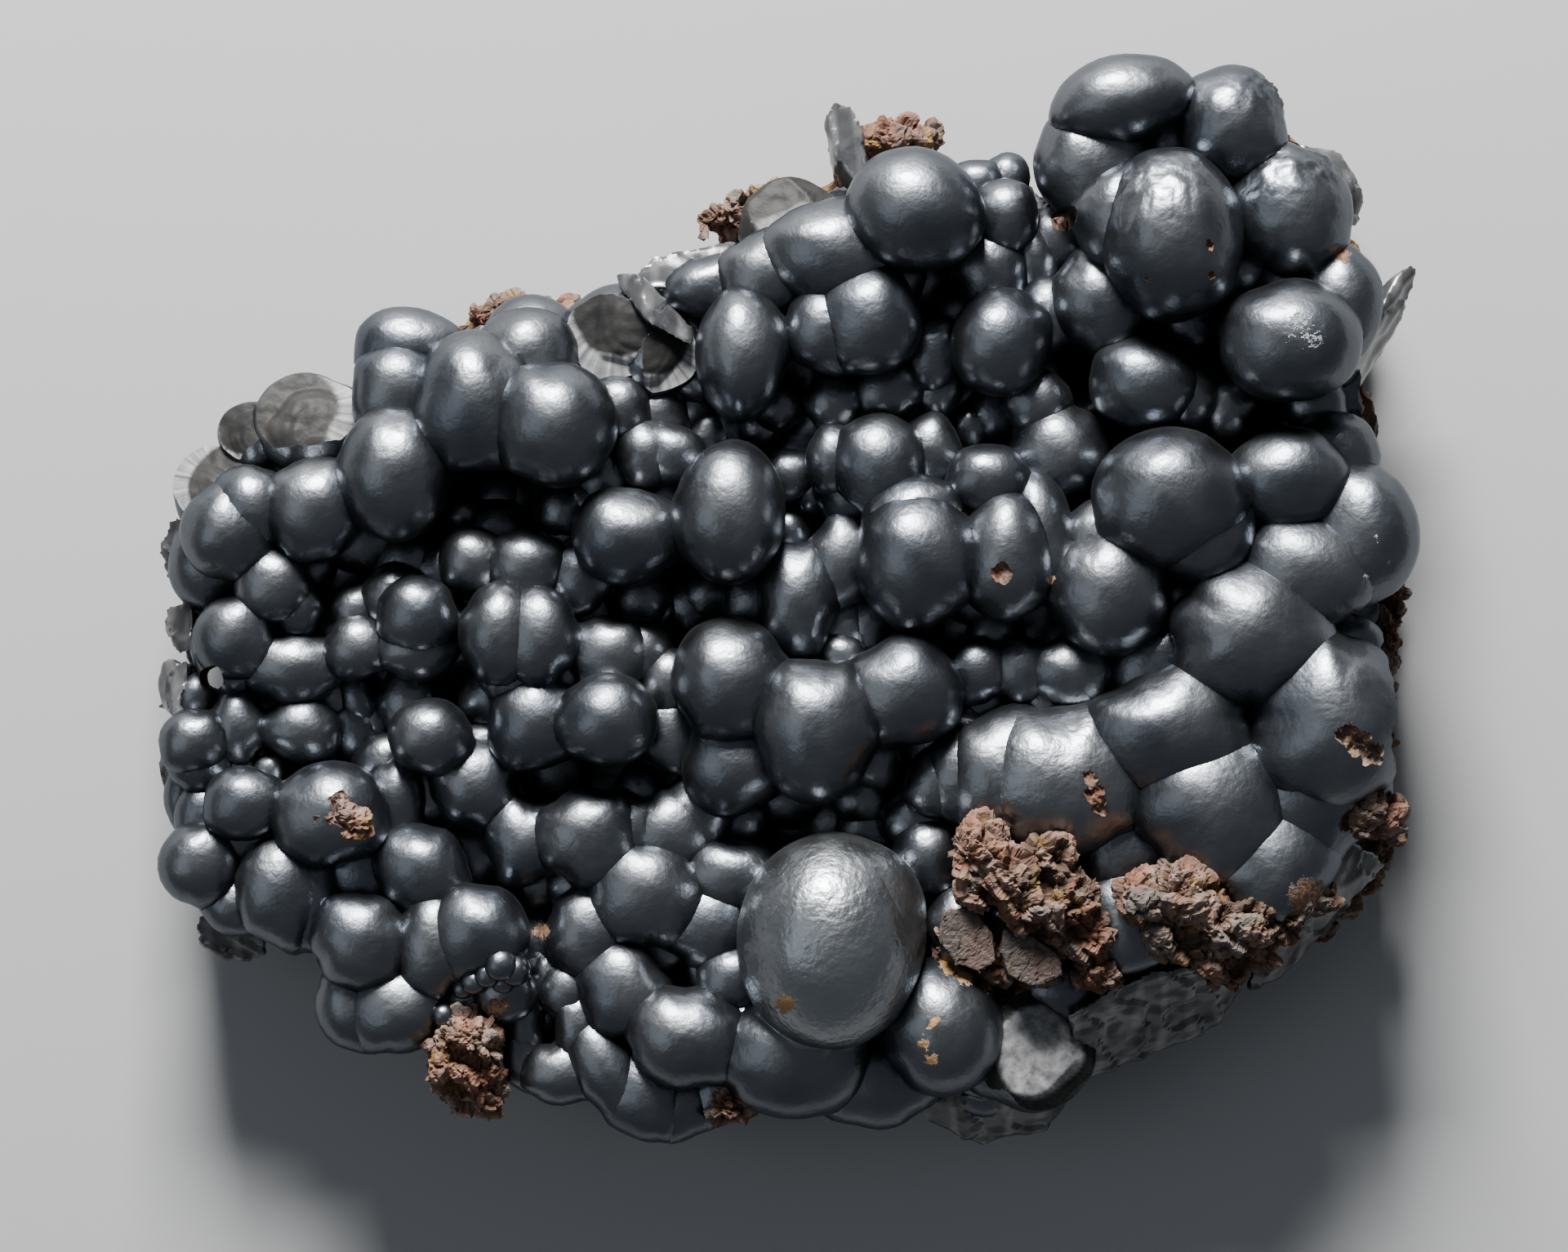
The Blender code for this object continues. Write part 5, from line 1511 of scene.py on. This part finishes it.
# %% Hollows, dust and marks
spots = points_of(crust.data) / MM - OFFSET
tops = np.array([(x, y, z + (wide + high) / 2) for x, y, z, wide, high, turn in all_lobes])
away = np.hypot(spots[:, None, 0] - tops[None, :, 0], spots[:, None, 1] - tops[None, :, 1])
near = np.exp(-((away / HOLLOW_REACH) ** 2))
roof = (near @ tops[:, 2]) / np.maximum(near.sum(axis=1), 1e-9)
edge_distance = np.full(len(spots), 1e9)
for (x0, y0), (x1, y1) in zip(CORE_OUTLINE, CORE_OUTLINE[1:] + CORE_OUTLINE[:1]):
    run, rise = x1 - x0, y1 - y0
    along = np.clip(((spots[:, 0] - x0) * run + (spots[:, 1] - y0) * rise) / (run**2 + rise**2), 0, 1)
    gap_x, gap_y = spots[:, 0] - x0 - along * run, spots[:, 1] - y0 - along * rise
    edge_distance = np.minimum(edge_distance, np.hypot(gap_x, gap_y))
deep = 1 - fade(roof - spots[:, 2], HOLLOW_TOP, HOLLOW_BOTTOM)
# Painted shade for points that lie deep below the lobes around them, spared near the edge.
write(crust.data, "hollow_shade", deep * (1 - fade(edge_distance, 2.0, 7.0)))
peels_and_light = np.full(len(names), USUAL_PEEL_AND_LIGHT)
for name, value in PEEL_AND_LIGHT.items():
    peels_and_light[names.index(name)] = value
# Darker, duller paint low down near the edge of the stone.
write(crust.data, "low_edge_dark", fade(spots[:, 2], 18.0, 27.0) * fade(edge_distance, 4.0, 12.0))
write(crust.data, "peel_and_light", peels_and_light[np.where(numbers < len(names), numbers, 0)])
write(crust.data, "stain", near_any(spots, STAINS))
write(crust.data, "tint", 0.5 + 0.4 * wander(spots, 1.6, 9))
# A little even painted shade for the pit walls, which take the limonite paint.
write(crust.data, "gap", np.full(len(spots), 0.1))
write(crust.data, "ochre", near_any(spots, OCHRES))
write(crust.data, "speck", near_any(spots, SPECKS))
print("points in hollows:", int((deep > 0.5).sum()))

# %% [markdown]
# On a break the ledge of fibres starts where the dome ends. The spokes need a direction from the middle
# of the shells. On a flat break the noise is read from the place on the face instead.

# %% Ledges and spokes
FOOT_PALE, FLAT_PALE = 0.9, 0.5  # how strongly the pale fibres show on the flat breaks
FLAT_GRAIN = 24.0  # mm for one unit of the noise on a flat break
ledge = np.zeros(len(spots))
spokes = np.zeros((len(spots), 3))
for index, (lobe, point, facing, shift) in enumerate(BROKEN_LOBES):
    here = numbers == BREAK + index
    radius = (lobe[3] + lobe[4]) / 2
    flat = spots[here] - np.array(point) - np.array((*shift, 0)) * radius
    length = np.hypot(flat[:, 0], flat[:, 1])
    wavy = shell_bend(spots[here], index)
    ledge[here] = 1 - fade(length / radius * wavy, HEART, HEART + 0.1)
    if index in FLAT_BREAKS:
        square = squarish(flat[:, 0] / radius, flat[:, 1] / radius) * wavy
        pale = FOOT_PALE if index == FOOT_BREAK else FLAT_PALE
        ledge[here] = pale * fade(square, BANDS_AT[0], BANDS_AT[0] + 0.06)
        spokes[here, :2] = flat[:, :2] / FLAT_GRAIN
    else:
        spokes[here, :2] = flat[:, :2] / np.maximum(length, 0.1)[:, None]
write(crust.data, "ledge", ledge)
layer = crust.data.attributes.new("spoke", "FLOAT_VECTOR", "POINT")
layer.data.foreach_set("vector", spokes.astype(np.float32).ravel())
print("points on a ledge:", int((ledge > 0.5).sum()))

# %% [markdown]
# ## Sharp creases
# Smooth shading would blur the crease between two lobes into a soft dark band. An edge is kept sharp
# where it is steep, and also where it parts two lobes and is only slightly bent. The second rule is what
# keeps even a shallow crease crisp, and it is why every face still carries the number of its lobe.


# %% Sharp creases
SHARP_ANYWHERE = 52  # degrees: an edge this steep is always sharp
SHARP_CREASE = 9  # and between two lobes one this steep is


def mark_creases(mesh):
    """Marks the creases between lobes as sharp, so that each lobe is shaded round right up to its crease."""
    owners = np.repeat(np.arange(len(mesh.polygons)), loops_of(mesh))
    edges = np.empty(len(mesh.loops), np.int32)
    mesh.loops.foreach_get("edge_index", edges)
    order = np.argsort(edges, kind="stable")
    sides = owners[order].reshape(-1, 2)
    normals = np.empty(len(mesh.polygons) * 3, np.float32)
    mesh.polygons.foreach_get("normal", normals)
    normals = normals.reshape(-1, 3)
    cosine = (normals[sides[:, 0]] * normals[sides[:, 1]]).sum(axis=1)
    lobes = face_numbers(mesh)
    apart = lobes[sides[:, 0]] != lobes[sides[:, 1]]
    steep = cosine < math.cos(math.radians(SHARP_ANYWHERE))
    sharp = steep | (apart & (cosine < math.cos(math.radians(SHARP_CREASE))))
    layer = mesh.attributes.get("sharp_edge") or mesh.attributes.new("sharp_edge", "BOOLEAN", "EDGE")
    layer.data.foreach_set("value", sharp)
    print(int(sharp.sum()), "of", len(sharp), "edges are sharp")


# %% [markdown]
# ## Paint on the pieces
# The number on each face tells what it is: skin, break, splinter, flank or pit. So one mesh takes five
# paints with clean borders. Then each piece is set to ride on the root, and for each of the eight the
# solid that it stands for is hidden.


# %% Paint on the pieces
def repaint(piece, *paints):
    piece.data.materials.clear()
    for paint in paints:
        piece.data.materials.append(paint)


repaint(crust, skin_paint, break_paint, splinter_paint, flank_paint, limonite_paint)
slots = np.zeros(len(marks), np.int32)
slots[(marks >= BREAK) & (marks < BROKEN_SKIN)] = 1
slots[(marks >= SPLINTER) & (marks < CORE)] = 2
slots[marks > CORE] = 3
slots[marks == PIT] = 4
crust.data.polygons.foreach_set("material_index", slots)
only(crust)
bpy.ops.object.shade_smooth_by_angle(angle=math.radians(SHARP_ANYWHERE))
mark_creases(crust.data)
for clot_node, piece in list(clots.items()) + [("limonite_matrix", slab)]:
    repaint(piece, limonite_paint)
    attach(piece, "root")
    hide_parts(clot_node)
for piece in edge_crumbs:
    repaint(piece, flake_paint if piece.name in FLAKES else limonite_paint)
    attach(piece, "root")
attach(crust, "root")
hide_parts("romanechite_crust")
